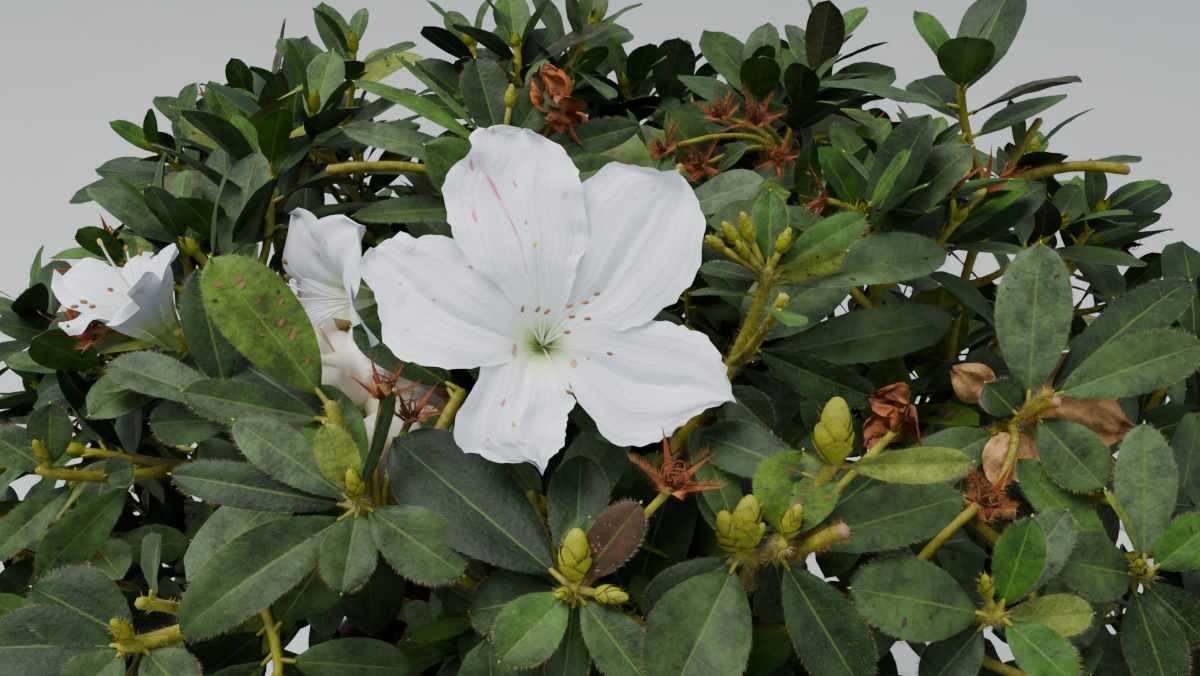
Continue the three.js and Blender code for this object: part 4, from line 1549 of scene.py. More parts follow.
def add_calyx(bundles, at, heading, length, kind, rng, hairs=12, slimness=7):
    """Five hairy pointed sepals round the foot of a bloom, or what is left of a spent one."""
    lean = 0.9 if kind == "calyx" else rng.uniform(0.5, 0.95)
    for i in range(5):
        angle = 2 * math.pi * i / 5 + rng.uniform(-0.2, 0.2)
        out = outwards(heading, angle)
        tilt = lean + (rng.uniform(-0.25, 0.25) if kind == "spent" else 0)
        way = unit(heading * math.cos(tilt) + out * math.sin(tilt))
        side = unit(np.cross(way, heading))
        face = np.cross(side, way)
        size = length * rng.uniform(0.85, 1.2)
        root = at + out * 0.8
        half = SEPAL_WIDTHS * size / slimness
        bow = rng.uniform(-0.3, 0.12)
        middle = root + np.outer(SEPAL_PLACES, way) * size
        middle = middle + np.outer(SEPAL_PLACES**2, face) * bow * size
        left, right = middle - np.outer(half, side), middle + np.outer(half, side)
        ridge = middle + np.outer(half, face) * 0.35
        grid = np.stack((left, ridge, right), 1)
        bundles["buds"].add(grid, grid_faces(len(SEPAL_PLACES), 3), kind)
        hair = "rusty_hair" if kind == "spent" else "hair"
        share = rng.uniform(0, 1, (hairs, 1))
        edge = np.where(rng.integers(0, 2, (hairs, 1)) == 1, 1, -1)
        roots = root + way * share * size + side * edge * (1 - share) * size * 0.13
        ways = units(way * 0.6 + side * edge * 0.8 + face * rng.uniform(-0.4, 0.7, (hairs, 1)))
        across = np.tile(face, (hairs, 1))
        lengths = rng.uniform(1.1, 2.6, hairs)
        add_hairs(bundles["hairs"], roots, ways, across, lengths, SEPAL_HAIR, hair)


def add_spent(bundles, at, heading, size, rng, shown=False):
    """What is left of a fallen bloom: a rusty star of sepals round a tangle of dry threads."""
    hairs, slimness, threads = (190, 8.5, 18) if shown else (14, 7, 3)
    add_calyx(bundles, at, heading, size, "spent", rng, hairs, slimness)
    for _ in range(threads):
        out = any_way(rng)
        end = at + heading * size * rng.uniform(0.3, 0.7) + out * size * 0.3
        middle = at + heading * size * 0.6 + any_way(rng) * size * 0.45
        add_tube(bundles["buds"], Curve(at, middle, end).points(5), np.full(6, 0.15), 3, "dry_thread")


def add_dry_petal(bundles, at, heading, side, size, kind, rng):
    """A withered petal, crumpled along its length."""
    face = np.cross(heading, side)
    u = np.linspace(0, 1, DRY_ROWS)[:, None]
    v = np.linspace(-1, 1, DRY_COLUMNS)[None, :]
    half = 0.42 * size * np.sin(math.pi * np.clip(u, 0.04, 0.97) ** 0.8) ** 0.7
    depth = 0.42 if kind == "crumpled" else 0.15
    a, b = rng.uniform(0, 6.28, 2)
    crumple = np.sin(4.4 * v + a + 3 * u) + 0.6 * np.sin(9 * v + b - 5 * u) + 0.7 * np.sin(7 * u + a)
    crumple = crumple + 0.5 * np.abs(np.sin(13 * v + 8 * u + b)) + 0.4 * np.abs(np.sin(17 * u - 9 * v + a))
    lift = depth * size * (crumple * 0.3 + 0.5 * v**2)
    grid = at + (u * size)[..., None] * heading + (v * half)[..., None] * side + lift[..., None] * face
    kinds = np.full((DRY_ROWS - 1, DRY_COLUMNS - 1), kind, dtype="<U16")
    kinds[-3:] = f"{kind}_dark"
    bundles["buds"].add(grid, grid_faces(DRY_ROWS, DRY_COLUMNS), kinds.ravel())


def add_bud(bundles, at, heading, length, radius, rng, large=False):
    """A pointed bud in overlapping scales, whose tips stand off a little."""
    first = square_to(heading, UP)
    second = np.cross(heading, first)
    rows, tiers, hairs = (10, 4, 90) if large else (3, 3, 14)
    v = np.array((-1, -0.9, -0.45, 0, 0.45, 0.9, 1)) if large else np.linspace(-1, 1, 4)
    t = np.linspace(0, 1, rows)[:, None]
    for tier in range(tiers):
        for i in range(3):
            angle = math.radians(120 * i + 47 * tier + rng.uniform(-20, 20))
            out = first * math.cos(angle) + second * math.sin(angle)
            side = np.cross(heading, out)
            start = 0.3 * tier / tiers
            end = 0.5 + 0.5 * tier / (tiers - 1) + rng.uniform(-0.12, 0.04)
            z = (start + (end - start) * t) * length
            belly = np.sin(math.pi * np.clip(z / length, 0.02, 0.99) ** 0.8) ** 0.7 * (1 - 0.1 * tier)
            turn = v * 1.35 * (1 - t**2.2)
            gape = rng.uniform(0.02, 0.28) * radius * t**3
            r = radius * np.maximum(belly, 0.08) + 0.3 + 0.05 * i + gape
            grid = at + z[..., None] * heading + (r * np.cos(turn))[..., None] * out
            grid = grid + (r * np.sin(turn))[..., None] * side
            kinds = np.full((rows - 1, len(v) - 1), "bud", dtype="<U16")
            if large:
                kinds[-1] = "bud_tip"
                kinds[:, 0] = kinds[:, -1] = "bud_edge"
            bundles["buds"].add(grid, grid_faces(rows, len(v)), kinds.ravel())
    if large:
        middle = at + heading * length * 0.52
        add_blob(bundles["buds"], middle, heading, length * 0.5, radius * 0.82, "bud", 8, 12)
    around = units(np.cross(np.tile(heading, (hairs, 1)), rng.normal(size=(hairs, 3))))
    share = rng.uniform(0.05, 0.8, (hairs, 1))
    root = at + heading * share * length + around * radius * 0.85
    ways = units(around * 0.7 + heading * rng.uniform(0.3, 1.0, (hairs, 1)))
    lengths = rng.uniform(0.8, 1.7, hairs)
    add_hairs(bundles["hairs"], root, ways, np.cross(around, heading), lengths, BUD_HAIR, "hair")


# Trunk and boughs


def bark_relief(strength):
    """Moves the rings of a limb in and out, in ridges that run along it."""

    def relief(points, rings):
        out = rings - points[:, None, :]
        for i in range(rings.shape[0]):
            for k in range(rings.shape[1]):
                x, y, z = rings[i, k]
                ridge = noise.noise(Vector((x * 0.35, y * 0.35, z * 0.09)))
                crack = abs(noise.noise(Vector((x * 0.8 + 9, y * 0.8, z * 0.2))))
                grain = noise.noise(Vector((x * 2.2, y * 2.2, z * 0.9)))
                rings[i, k] += unit(out[i, k]) * strength * (ridge + 1.1 * crack + 0.25 * grain)
        return rings

    return relief


def make_limbs(masses):
    """The trunk and the boughs, in ridged bark."""
    bundle = Bundle()
    steps = TRUNK_STEPS
    radii = [trunk_radius(i / steps) - 0.4 for i in range(steps + 1)]
    add_tube(bundle, trunk_curve().points(steps), radii, TRUNK_SIDES, "bark", bark_relief(0.9))
    bundle.piece("trunk_bark", "bark", ("trunk",))
    for mass in masses:
        bough = Bundle()
        steps = BOUGH_STEPS
        radii = [BOUGH_ROOT + (BOUGH_TIP - BOUGH_ROOT) * i / steps for i in range(steps + 1)]
        add_tube(bough, mass["curve"].points(steps), radii, BOUGH_SIDES, "bark", bark_relief(0.4))
        bough.piece(f"bough_{mass['name']}_bark", "bark", (f"bough_{mass['name']}",))


# Masses


def start_mass(number, mass):
    """Gives a mass its random numbers and the bundles that its growth goes into."""
    mass["draw"] = seeded(DRAW_SEED + DRAW_SEED_STEP * number)
    mass["rng"] = np.random.default_rng(HAIR_SEED + number)
    mass["bundles"] = {kind: Bundle() for kind in MASS_PIECES}


def add_shoot(mass, curve, radius, steps, hairs=5, hair="hair", sides=8):
    """A green shoot along a curve, with so many hairs to a millimetre."""
    points = curve.points(steps)
    radii = radius * np.linspace(1.06, 0.92, steps + 1) + 0.08 * np.sin(np.arange(steps + 1) * 2.4)
    add_tube(mass["bundles"]["shoots"], points, radii, sides, "shoot")
    bristle(mass["bundles"]["hairs"], points, radii, hairs, SHOOT_HAIR_LENGTH, mass["rng"], hair)


def show_blooms(masses, sight):
    for mass in masses:
        for twig in mass["twigs"]:
            tip = twig["tip"]
            if tip and tip["bears"] == "bloom":
                add_bloom_at(mass, twig["curve"], tip, sight)


def add_bloom_at(mass, curve, tip, sight):
    """The bloom at a shoot's end, or beside it where the photograph shows it there."""
    shown, draw = tip["shown"], mass["draw"]
    bloom = {
        "at": curve.end,
        "heading": curve.tangent(1),
        "turn": tip["turn"],
        "radius": BLOOM_RADIUS * between(draw, 0.88, 0.98),
        "rise": 0,
        "nearest": shown == 0,
        "wilted": 0,
    }
    bloom.update(SHOWN_BLOOMS.get(shown, {}))
    bloom["heading"] = unit(np.array(bloom["heading"], float))
    if shown in SHOWN_BLOOMS and "at" in SHOWN_BLOOMS[shown]:
        bloom["at"] = beside(curve, *bloom["at"])
        add_shoot(mass, spur(curve, 0.6, bloom["at"]), radius=1.3, steps=8)
    add_bloom(mass["bundles"], bloom, sight, draw, mass["rng"])
    if shown in SHOWN_BLOOMS:
        middle = bloom["at"] + bloom["heading"] * 17
        ways = [outwards(bloom["heading"], turn) for turn in turns_round(8)]
        sight.keep([middle + way * r for way in ways for r in (6, 15)], WIDE_VIEW)


def shown_twigs(masses):
    """The mass, curve and tip of each shoot that the photograph shows, by its number."""
    return {
        twig["tip"]["shown"]: (mass, twig["curve"], twig["tip"])
        for mass in masses
        for twig in mass["twigs"]
        if twig["tip"] and twig["tip"]["shown"] is not None
    }


def show_sprays(masses, room, sight):
    """The leaves and buds that the photograph shows, on their shoots or on spurs of them."""
    found = shown_twigs(masses)
    for spray in SHOWN_SPRAYS:
        mass, curve, tip = found[spray["shoot"]]
        if "end" in spray:
            curve = spur(curve, spray["from"], beside(curve, *spray["end"]))
            add_shoot(mass, curve, radius=1.5, steps=10, hairs=20)
            sight.keep(curve.points(5)[2:], SHOOT_VIEW)
        for shown in spray["leaves"]:
            leaf = aimed_leaf(curve, shown, mass["draw"])
            add_leaf(mass["bundles"], leaf, mass["rng"])
            probes = leaf_probes(leaf)
            room.add(probes)
            sight.keep(probes, max(NARROW_VIEW, 2.3 * leaf["width"]))
            sight.block(leaf_grid(leaf)[3::3, 1::2])
        show_buds(mass, curve, spray.get("buds", ()), sight)
        tip["dressed"] = True


def show_buds(mass, curve, buds, sight):
    """The large buds of a spray, each on a short stalk near its end."""
    for x, y, length in buds:
        tip = beside(curve, x, y, 3)
        foot = curve.point(0.94)
        way = unit(tip - foot)
        start = tip - way * length
        radius = (0.28 if length > 8 else 0.22) * length
        stalk = Curve(foot, foot + curve.tangent(1) * 2, start)
        add_shoot(mass, stalk, radius=0.85, steps=4)
        add_bud(mass["bundles"], start, way, length, radius, mass["rng"], large=True)
        sight.keep([start, tip], NARROW_VIEW)


def show_remains(masses, sight):
    """Spent and crumpled blooms where the photograph shows them."""
    found = shown_twigs(masses)
    for shoot, x, y, nearer, size, kind in SHOWN_REMAINS:
        mass, curve, _ = found[shoot]
        at = beside(curve, x, y, nearer)
        stalk = spur(curve, SPENT_PLACE, at)
        add_shoot(mass, stalk, radius=0.9, steps=8)
        toward = unit(unit(CAMERA_PLACE - at) * 0.6 + UP * 0.8 + stalk.tangent(1) * 0.4)
        if kind == "star":
            add_spent(mass["bundles"], at, toward, size, mass["rng"], shown=True)
        else:
            for _ in range(6):
                way = unit(toward * 0.5 + any_way(mass["rng"]))
                side = square_to(way, any_way(mass["rng"]))
                add_dry_petal(mass["bundles"], at, way, side, size, kind, mass["rng"])
        sight.keep([at, at + toward * size * 0.6], WIDE_VIEW)


def show_paper(masses, sight):
    """Papery petals that lie across the view."""
    found = shown_twigs(masses)
    ahead, right, up = camera_axes()
    for shoot, x, y, nearer, size, turns in SHOWN_PAPER:
        mass, curve, _ = found[shoot]
        at = beside(curve, x, y, nearer)
        add_shoot(mass, spur(curve, SPENT_PLACE, at), radius=0.9, steps=8)
        for turn in np.radians(turns):
            way = unit(right * math.cos(turn) + up * math.sin(turn) - ahead * 0.15)
            side = unit(np.cross(ahead, way) + ahead * mass["rng"].uniform(-0.3, 0.3))
            add_dry_petal(mass["bundles"], at, way, side, size, "paper", mass["rng"])
            sight.keep([at + way * size * 0.3, at + way * size * 0.75], WIDE_VIEW)


def show_cut_stems(masses):
    """Bristly stems that end in bare wood."""
    found = shown_twigs(masses)
    for shoot, place, x, y, nearer, radius in CUT_STEMS:
        mass, curve, _ = found[shoot]
        end = beside(curve, x, y, nearer)
        add_shoot(mass, spur(curve, place, end), radius, steps=12, hairs=30, hair="rusty_hair")
        way = unit(end - curve.point(place))
        add_blob(mass["bundles"]["buds"], end, way, radius * 0.75, radius * 0.97, "cut_wood")


def add_side_shoots(mass, curve, sight):
    """Grows the side shoots of a twig or a bough, whose ends are dressed later."""
    count = BACK_SIDE_SHOOTS if mass["middle"][1] > BACK else SIDE_SHOOTS
    sides = side_shoots(curve, count, sight, mass["draw"])
    for side in sides:
        add_shoot(mass, side, radius=1.2, steps=6, hairs=2, sides=6)
    return [(side, "leaves", 0.9) for side in sides]


def dress_mass(mass, room, sight):
    """The twigs of a mass, and the finer shoots and leaves that the photograph leaves open."""
    draw, rng, bundles = mass["draw"], mass["rng"], mass["bundles"]
    ends = add_side_shoots(mass, mass["curve"], sight)
    for twig in mass["twigs"]:
        curve, count, tip = twig["curve"], twig["count"], twig["tip"]
        radius = TWIG_RADIUS * count**THICKEN
        if tip:
            radius = SHOWN_THICKNESS.get(tip["shown"], radius)
        points = curve.points(TWIG_STEPS)
        taper = 3 * TAPER if tip else TAPER
        knots = np.sin(np.arange(TWIG_STEPS + 1) * 2.4)
        radii = radius * np.linspace(1, 1 - taper, TWIG_STEPS + 1) + 0.12 * knots
        add_tube(bundles["shoots"], points, radii, TWIG_SIDES, "stem" if count > 1 else "shoot")
        shown = tip and tip["shown"] is not None
        bristle(bundles["hairs"], points, radii, *(SHOWN_TWIG_HAIRS if shown else TWIG_HAIRS), rng)
        if tip and not tip.get("dressed"):
            ends.append((curve, tip["bears"], 1.0))
        ends += add_side_shoots(mass, curve, sight)
    for curve, bears, scale in ends:
        for leaf in dress_shoot(curve, bears, room, sight, draw, scale):
            add_leaf(bundles, leaf, rng)
        if bears == "leaves":
            finish_shoot(mass, curve, sight)
    make_pieces(mass)


def finish_shoot(mass, curve, sight):
    """A bud at a shoot's end, and at times what is left of spent blooms beside it."""
    draw, rng, bundles = mass["draw"], mass["rng"], mass["bundles"]
    heading, at = curve.tangent(1), curve.end
    length = between(draw, 5, 8)
    if not sight.hidden_by([at + heading * length]) and not sight.runs_through(at + heading * length):
        add_bud(bundles, at - heading * 1.5, heading, length, 1.7, rng)
    if draw() > SPENT_SHARE:
        return
    for _ in range(1 + int(2 * draw())):
        out = turned(square_to(heading, UP), heading, 360 * draw())
        start = at - heading * 3
        end = start + out * between(draw, 5, 8) + heading * between(draw, 6, 10)
        if sight.hidden_by([end]) or sight.runs_through(end, SPENT_CLEAR):
            continue
        stalk = Curve(start, start + heading * 5 + out * 2, end)
        add_shoot(mass, stalk, radius=0.85, steps=5)
        add_spent(bundles, end, unit(end - stalk.bend), between(draw, 7, 10), rng)


def make_pieces(mass):
    name, bundles = mass["name"], mass["bundles"]
    bundles["leaves"].piece(f"leaves_{name}", "foliage", (f"foliage_{name}",))
    bundles["shoots"].piece(f"twigs_{name}", "twig")
    bundles["hairs"].piece(f"hairs_{name}", "foliage")
    bundles["buds"].piece(f"buds_{name}", "foliage")
    if bundles["petals"].count:
        bundles["petals"].piece(f"petals_{name}", "blossom")
        bundles["stamens"].piece(f"stamens_{name}", "blossom")


# Pot and bark mix


def pot_radius(height):
    body = POT_FOOT + (POT_BODY - POT_FOOT) * height / POT_HEIGHT
    band = BAND_STEP if height >= POT_HEIGHT - BAND_HEIGHT else 0
    lip = LIP_STEP if height >= POT_HEIGHT - LIP_HEIGHT else 0
    return body + band + lip


def inner_radius(height):
    return POT_FOOT + (POT_BODY - POT_FOOT) * height / POT_HEIGHT - POT_WALL


def arc(centre, radius, start, end, steps):
    """Points of an arc in a profile, in degrees from outwards, anticlockwise."""
    turns = np.radians(np.linspace(start, end, steps + 1))
    return [(centre[0] + radius * math.cos(a), centre[1] + radius * math.sin(a)) for a in turns]


def pot_profile():
    band = POT_HEIGHT - BAND_HEIGHT
    lip = POT_HEIGHT - LIP_HEIGHT
    rim = pot_radius(lip)
    inner = inner_radius(POT_HEIGHT)
    roll = 4.4
    points = [(0, 0.6), (POT_FOOT - 16, 0.6)]
    points += [(POT_FOOT - 14, 0)] + arc((pot_radius(0) - 3, 3), 3, -90, 0, 5)
    points += [(pot_radius(h), h) for h in np.linspace(8, band - 3, 14)]
    points += arc((pot_radius(band) - 1, band - 0.5), 1, -60, 0, 3)
    points += [(pot_radius(h), h) for h in np.linspace(band + 2, lip - 3, 4)]
    points += [(rim - LIP_STEP + 0.2, lip - 1)] + arc((rim - 1.5, lip + 1.5), 1.5, -80, 0, 4)
    points += arc((rim - roll, POT_HEIGHT - roll), roll, 10, 90, 8)
    points += arc((inner + 2, POT_HEIGHT - 2), 2, 90, 180, 4)
    points += [(inner_radius(h), h) for h in np.linspace(POT_HEIGHT - 6, POT_FLOOR + 2, 12)]
    return points + [(inner_radius(POT_FLOOR) - 2, POT_FLOOR), (0, POT_FLOOR)]


def make_pot():
    """A turned shell with drain holes round its foot."""
    profile = np.array(pot_profile())
    turns = turns_round(POT_SIDES)
    around = np.stack((np.cos(turns), np.sin(turns)), 1)
    points = np.zeros((len(profile), POT_SIDES, 3))
    points[..., :2] = profile[:, None, :1] * around[None]
    points[..., 2] = profile[:, 1][:, None]
    bundle = Bundle()
    bundle.add(points, grid_faces(len(profile), POT_SIDES, closed=True)[:, ::-1], "pot")
    pot = bundle.piece("pot_shell", "pot", ("pot",))
    merge_close(pot)
    for i in range(DRAIN_COUNT):
        cut_drain(pot, math.radians(360 * (i + 0.5) / DRAIN_COUNT))
    pot.data.shade_smooth()
    pot.data.set_sharp_from_angle(angle=math.radians(40))


def merge_close(piece):
    """Joins points that lie on one another, as at the middle of a turned shell."""
    mesh = bmesh.new()
    mesh.from_mesh(piece.data)
    bmesh.ops.remove_doubles(mesh, verts=mesh.verts, dist=0.01 * MM)
    mesh.to_mesh(piece.data)
    mesh.free()


def cut_drain(pot, turn):
    """Bores a drain hole through the pot's wall, at its foot."""
    place = (POT_FOOT * MM * math.cos(turn), POT_FOOT * MM * math.sin(turn))
    height = (DRAIN_HEIGHT + DRAIN_RADIUS) * MM
    bpy.ops.mesh.primitive_cylinder_add(
        vertices=32,
        radius=DRAIN_RADIUS * MM,
        depth=30 * MM,
        location=(*place, height),
        rotation=(0, math.pi / 2, turn),
    )
    bore = bpy.context.active_object
    cut = pot.modifiers.new("drain", "BOOLEAN")
    cut.operation = "DIFFERENCE"
    cut.object = bore
    cut.solver = "EXACT"
    bpy.context.view_layer.objects.active = pot
    bpy.ops.object.modifier_apply(modifier=cut.name)
    bpy.data.objects.remove(bore)


def soil_height(x, y):
    out = math.hypot(x, y) / inner_radius(POT_HEIGHT - SOIL_DROP)
    dome = SOIL_DOME * max(0, 1 - out**2)
    rough = 1.6 * noise.noise(Vector((x * 0.06, y * 0.06, 3)))
    return POT_HEIGHT - SOIL_DROP + dome + rough


def make_soil():
    """Bark mix: a rough domed ground with chips of bark strewn over it."""
    rng = np.random.default_rng(CHIP_SEED)
    bundle = Bundle()
    edge = inner_radius(POT_HEIGHT - SOIL_DROP) - 0.4
    turns = [2 * math.pi * k / SOIL_SIDES for k in range(SOIL_SIDES)]
    ground = []
    for i in range(SOIL_RINGS + 1):
        r = edge * i / SOIL_RINGS
        for turn in turns:
            x, y = r * math.cos(turn), r * math.sin(turn)
            ground.append((x, y, soil_height(x, y) - 1.5))
    bundle.add(ground, grid_faces(SOIL_RINGS + 1, SOIL_SIDES, closed=True), "soil")
    wall = [(inner_radius(POT_FLOOR) - 0.5, POT_FLOOR + 1), (edge, POT_HEIGHT - SOIL_DROP - 2)]
    skirt = [(r * math.cos(turn), r * math.sin(turn), z) for r, z in wall for turn in turns]
    bundle.add(skirt, grid_faces(2, SOIL_SIDES, closed=True), "soil")
    kinds = ("chip_dark", "chip_red", "chip_tan", "chip_grey")
    for _ in range(CHIPS):
        r = edge * math.sqrt(rng.random()) * 0.985
        turn = rng.uniform(0, 2 * math.pi)
        x, y = r * math.cos(turn), r * math.sin(turn)
        if r < FLARE_RADIUS + 1:
            continue
        kind = kinds[rng.choice(4, p=(0.4, 0.3, 0.22, 0.08))]
        add_chip(bundle, (x, y, soil_height(x, y) - 0.8), rng, kind)
    bundle.piece("bark_mix", "soil", ("root_ball",))


def add_chip(bundle, at, rng, kind):
    """A chip of bark: a flat broken block, tilted a little."""
    size = rng.lognormal(0.9, 0.45)
    half = np.array((size * 1.5, size * 0.8, size * 0.32))
    corners = np.array([(x, y, z) for x in (-1, 1) for y in (-1, 1) for z in (-1, 1)], float)
    corners = corners * half * rng.uniform(0.65, 1.1, (8, 3))
    turn = rng.uniform(0, 2 * math.pi)
    way = unit(np.array((math.cos(turn), math.sin(turn), rng.normal(0, 0.22))))
    side = square_to(way, np.array((-math.sin(turn), math.cos(turn), rng.normal(0, 0.3))))
    face = np.cross(way, side)
    points = np.array(at) + corners @ np.array((way, side, face))
    out = np.hypot(points[:, 0], points[:, 1])
    limit = inner_radius(POT_HEIGHT - SOIL_DROP) - 0.5
    points[:, :2] *= np.minimum(1, limit / np.maximum(out, 1))[:, None]
    faces = [(0, 1, 3, 2), (4, 6, 7, 5), (0, 4, 5, 1), (2, 3, 7, 6), (0, 2, 6, 4), (1, 5, 7, 3)]
    bundle.add(points, faces, kind)


# Materials


class Shader:
    """A material with its principled shader, to which uneven colour and bumps are added."""

    def __init__(self, name, color, rough, **sockets):
        self.material = bpy.data.materials.new(name)
        self.material.use_nodes = True
        self.material.diffuse_color = (*color, 1)
        self.nodes, self.links = self.material.node_tree.nodes, self.material.node_tree.links
        self.principled = self.nodes["Principled BSDF"]
        values = {"Base_Color": (*color, 1), "Roughness": rough, **sockets}
        for socket, value in values.items():
            self.principled.inputs[socket.replace("_", " ")].default_value = value

    def noise(self, scale, detail=3.0, rough=0.55):
        where = self.nodes.new("ShaderNodeTexCoord")
        texture = self.nodes.new("ShaderNodeTexNoise")
        texture.inputs["Scale"].default_value = scale
        texture.inputs["Detail"].default_value = detail
        texture.inputs["Roughness"].default_value = rough
        self.links.new(where.outputs["Object"], texture.inputs["Vector"])
        return texture.outputs["Fac"]

    def vary_color(self, factor, dark, light, low=0.3, high=0.7):
        ramp = self.nodes.new("ShaderNodeValToRGB")
        for element, place, color in zip(ramp.color_ramp.elements, (low, high), (dark, light)):
            element.position = place
            element.color = (*color, 1)
        self.links.new(factor, ramp.inputs["Fac"])
        self.links.new(ramp.outputs["Color"], self.principled.inputs["Base Color"])

    def add_bump(self, factor, strength, distance):
        bump = self.nodes.new("ShaderNodeBump")
        bump.inputs["Strength"].default_value = strength
        bump.inputs["Distance"].default_value = distance
        self.links.new(factor, bump.inputs["Height"])
        self.links.new(bump.outputs["Normal"], self.principled.inputs["Normal"])


def shades(color, spread):
    """A darker and a lighter colour, as far from the first as the spread says."""
    return tuple(c * (1 - spread) for c in color), tuple(c * (1 + spread) for c in color)


def soft_green(name, color, rough=0.52, spread=0.6, sheen=0.03):
    """Living tissue with short hairs: a dull sheen over finely uneven colour."""
    made = Shader(
        name,
        color,
        rough,
        Sheen_Weight=sheen,
        Sheen_Roughness=0.4,
        Sheen_Tint=(0.85, 0.95, 0.9, 1),
        Specular_IOR_Level=0.23,
    )
    made.vary_color(made.noise(70, 8, 0.82), *shades(color, spread), 0.39, 0.61)
    made.add_bump(made.noise(900, 5), 0.45, 0.0005)
    return made.material


def petal_material(name, color, spread=0.04):
    """A soft petal that lets some light through."""
    radius = (0.004, 0.004, 0.004)
    made = Shader(name, color, 0.5, Subsurface_Weight=0.25, Subsurface_Radius=radius, Sheen_Weight=0.15)
    made.vary_color(made.noise(90, 6, 0.7), *shades(color, spread))
    made.add_bump(made.noise(420, 7, 0.65), 0.4, 0.0005)
    return made.material


def rough_material(name, color, scale, spread, strength, distance, rough=0.85):
    """Bark and what is as dry: coarse grain in colour, and a finer one in relief."""
    made = Shader(name, color, rough)
    made.vary_color(made.noise(scale, 6), *shades(color, spread))
    made.add_bump(made.noise(scale * 4, 8), strength, distance)
    return made.material


def pot_material():
    color = (0.088, 0.022, 0.044)
    made = Shader("pot", color, 0.32, Coat_Weight=0.15, Coat_Roughness=0.2)
    made.vary_color(made.noise(22, 5), *shades(color, 0.14))
    made.add_bump(made.noise(700, 3), 0.12, 0.0004)
    return made.material


# Colours of the leaves by tint, and what the lines on a leaf keep of its colour and add to it
LEAF_COLORS = {
    "deep": (0.006, 0.018, 0.003),
    "dark": (0.0125, 0.031, 0.006),
    "grey": (0.052, 0.088, 0.033),
    "mid": (0.030, 0.060, 0.0135),
    "fresh": (0.039, 0.094, 0.012),
    "young": (0.023, 0.080, 0.0006),
    "yellow": (0.150, 0.190, 0.022),
    "purple": (0.042, 0.046, 0.018),
    "spotted": (0.064, 0.118, 0.009),
    "brown": (0.048, 0.022, 0.011),
}
LEAF_LINES = {"midrib": (0.7, (0.045, 0.07, 0.008)), "vein": (0.9, (0.018, 0.028, 0.004))}

# Soft growth by kind of face: name, colour, and where they differ from most, roughness, spread
# of the colour and sheen
SOFT_MATERIALS = {
    "leaf_point": ("leaf_point", (0.55, 0.52, 0.04), 0.35, 0.05, 0.0),
    "spot": ("leaf_spot", (0.21, 0.085, 0.045), 0.6, 0.3),
    "blotch": ("leaf_blotch", (0.032, 0.018, 0.018), 0.6, 0.2),
    "shoot": ("shoot_green", (0.22, 0.20, 0.017), 0.5, 0.5),
    "hair": ("hair", (0.37, 0.28, 0.12), 0.5, 0.1, 0.0),
    "margin_hair": ("margin_hair", (0.20, 0.16, 0.075), 0.5, 0.1, 0.0),
    "fuzz": ("fuzz", (0.075, 0.115, 0.055), 0.5, 0.1, 0.0),
    "rusty_hair": ("rusty_hair", (0.42, 0.17, 0.05), 0.5, 0.1, 0.0),
    "bud": ("bud", (0.24, 0.25, 0.012), 0.5, 0.35),
    "bud_tip": ("bud_tip", (0.25, 0.16, 0.03), 0.5, 0.2),
    "bud_edge": ("bud_edge", (0.17, 0.085, 0.02), 0.5, 0.2),
    "cut_wood": ("cut_wood", (0.24, 0.14, 0.075), 0.7, 0.45, 0.0),
    "dry_thread": ("dry_thread", (0.16, 0.05, 0.02), 0.7),
    "calyx": ("calyx", (0.09, 0.14, 0.02)),
    "spent": ("spent_calyx", (0.185, 0.043, 0.011), 0.65, 0.6),
    "anther": ("anther", (0.27, 0.12, 0.045), 0.6, 0.25, 0.0),
}

# Petals and what is as fine as they are: name, colour, and spread of the colour where it differs
PETAL_MATERIALS = {
    "petal": ("petal_white", (0.785, 0.80, 0.87)),
    "petal_vein": ("petal_vein", (0.74, 0.757, 0.83)),
    "petal_cream": ("petal_cream", (0.80, 0.82, 0.80)),
    "petal_pale": ("petal_pale", (0.76, 0.83, 0.62)),
    "petal_green": ("petal_green", (0.62, 0.74, 0.36)),
    "petal_throat": ("petal_throat", (0.40, 0.56, 0.16)),
    "petal_old": ("petal_old", (0.68, 0.62, 0.50), 0.12),
    "petal_tan": ("petal_tan", (0.52, 0.34, 0.14)),
    "petal_brown": ("petal_brown", (0.30, 0.16, 0.06)),
    "fleck": ("petal_fleck", (0.70, 0.13, 0.36)),
    "fleck_pale": ("petal_blush", (0.80, 0.52, 0.66)),
    "tan": ("petal_speck", (0.55, 0.33, 0.17)),
    "filament": ("filament", (0.80, 0.82, 0.70)),
    "style": ("style", (0.74, 0.79, 0.62)),
    "stigma": ("stigma", (0.70, 0.66, 0.10)),
}

# Colours of withered petals and of the chips in the bark mix
DRY_COLORS = {
    "paper": (0.46, 0.25, 0.085),
    "paper_dark": (0.28, 0.12, 0.04),
    "crumpled": (0.27, 0.072, 0.011),
    "crumpled_dark": (0.15, 0.04, 0.012),
}
CHIP_COLORS = {
    "dark": (0.07, 0.04, 0.025),
    "red": (0.16, 0.075, 0.04),
    "tan": (0.27, 0.17, 0.09),
    "grey": (0.2, 0.18, 0.15),
}


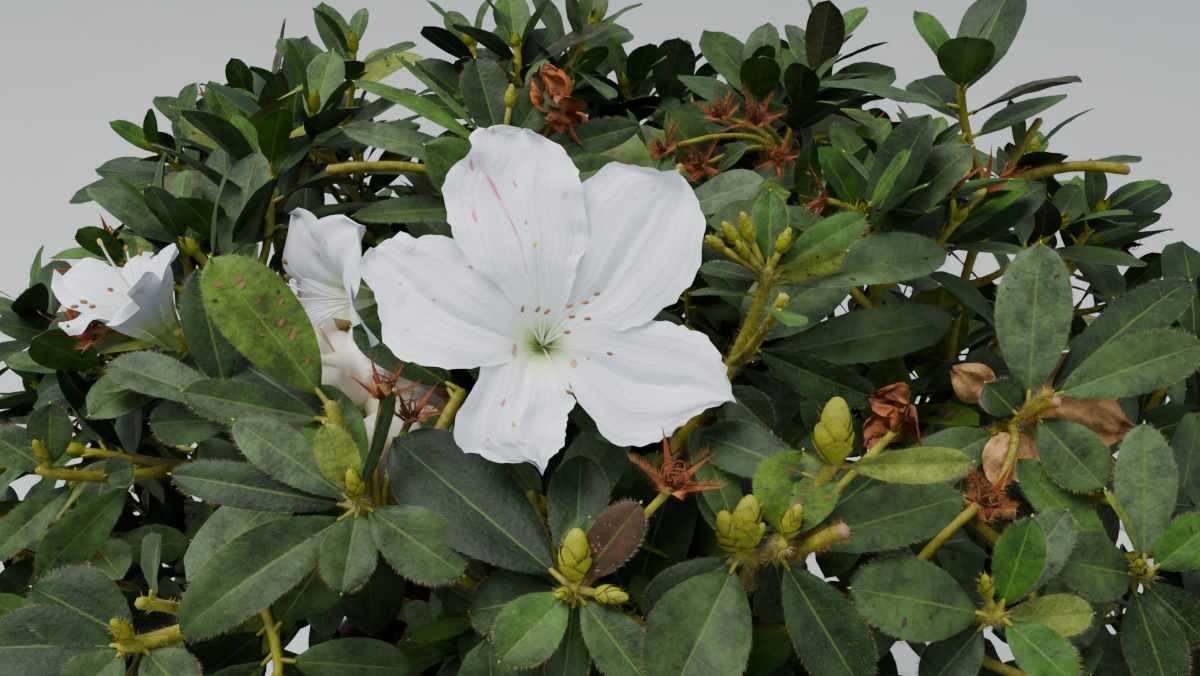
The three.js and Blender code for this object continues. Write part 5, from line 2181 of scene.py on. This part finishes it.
def make_materials():
    made = {}
    for tint, color in LEAF_COLORS.items():
        made[f"leaf_{tint}"] = soft_green(f"leaf_{tint}", color)
        for line, (share, more) in LEAF_LINES.items():
            paler = tuple(c * share + m for c, m in zip(color, more))
            made[f"{line}_{tint}"] = soft_green(f"{line}_{tint}", paler, 0.5, 0.15)
    for kind, (name, color, *look) in SOFT_MATERIALS.items():
        made[kind] = soft_green(name, color, *look)
    for kind, (name, color, *look) in PETAL_MATERIALS.items():
        made[kind] = petal_material(name, color, *look)
    for name, color in DRY_COLORS.items():
        made[name] = rough_material(f"dry_{name}", color, 240, 0.5, 0.7, 0.0008, 0.7)
    for name, color in CHIP_COLORS.items():
        made[f"chip_{name}"] = rough_material(f"chip_{name}", color, 420, 0.4, 0.8, 0.0008, 0.9)
    made["stem"] = rough_material("stem_olive", (0.10, 0.075, 0.022), 240, 0.35, 0.5, 0.0005, 0.65)
    made["bark"] = rough_material("bark", (0.16, 0.115, 0.07), 160, 0.45, 0.9, 0.001)
    made["soil"] = rough_material("bark_mix_ground", (0.045, 0.028, 0.018), 260, 0.5, 1.0, 0.002, 0.95)
    made["pot"] = pot_material()
    return made


# Stage


def make_stage():
    """A pale floor and soft light from above."""
    bpy.ops.mesh.primitive_plane_add(size=60, location=(0, 0, 0))
    floor = bpy.context.active_object
    floor.name = "floor"
    made = Shader("floor", (0.62, 0.62, 0.61), 0.7)
    made.vary_color(made.noise(6), (0.6, 0.6, 0.59), (0.64, 0.64, 0.63))
    floor.data.materials.append(made.material)
    add_light("sky_light", (-0.8, -0.1, 2.3), (0, 0, 0.35), size=1.3, power=62, color=(1.0, 0.99, 0.97))
    add_light("side_light", (1.6, -1.2, 1.3), (0, 0, 0.4), size=1.4, power=10, color=(0.93, 0.96, 1.0))
    world = bpy.data.worlds.new("soft_sky")
    bpy.context.scene.world = world
    world.use_nodes = True
    sky = world.node_tree.nodes["Background"]
    sky.inputs["Color"].default_value = (0.82, 0.9, 1.0, 1)
    sky.inputs["Strength"].default_value = 0.68


def add_light(name, place, target, size, power, color):
    light = bpy.data.lights.new(name, "AREA")
    light.shape = "DISK"
    light.size = size
    light.energy = power
    light.color = color
    lamp = bpy.data.objects.new(name, light)
    lamp.location = place
    lamp.rotation_euler = (Vector(target) - Vector(place)).to_track_quat("-Z", "Y").to_euler()
    bpy.context.scene.collection.objects.link(lamp)


def make_camera():
    """The camera that took the photograph, as near as can be told."""
    camera = bpy.data.cameras.new("camera")
    camera.sensor_width = SENSOR_WIDTH
    camera.lens = SENSOR_WIDTH / 2 / math.tan(math.radians(CAMERA_WIDE / 2))
    camera.clip_start = 0.01
    holder = bpy.data.objects.new("camera", camera)
    holder.location = CAMERA_PLACE * MM
    holder.rotation_euler = (math.radians(90 - CAMERA_DOWN), 0, 0)
    bpy.context.scene.collection.objects.link(holder)
    bpy.context.scene.camera = holder


MATERIALS = make_materials()
make_stage()
make_camera()
MASSES = grow_masses()
make_limbs(MASSES)
make_pot()
make_soil()
ROOM = Room(LEAF_CLEAR)
SIGHT = Sight()
for index, grown in enumerate(MASSES):
    start_mass(index, grown)
show_blooms(MASSES, SIGHT)
show_sprays(MASSES, ROOM, SIGHT)
show_remains(MASSES, SIGHT)
show_paper(MASSES, SIGHT)
show_cut_stems(MASSES)
SIGHT.plant_tree()
for grown in MASSES:
    dress_mass(grown, ROOM, SIGHT)
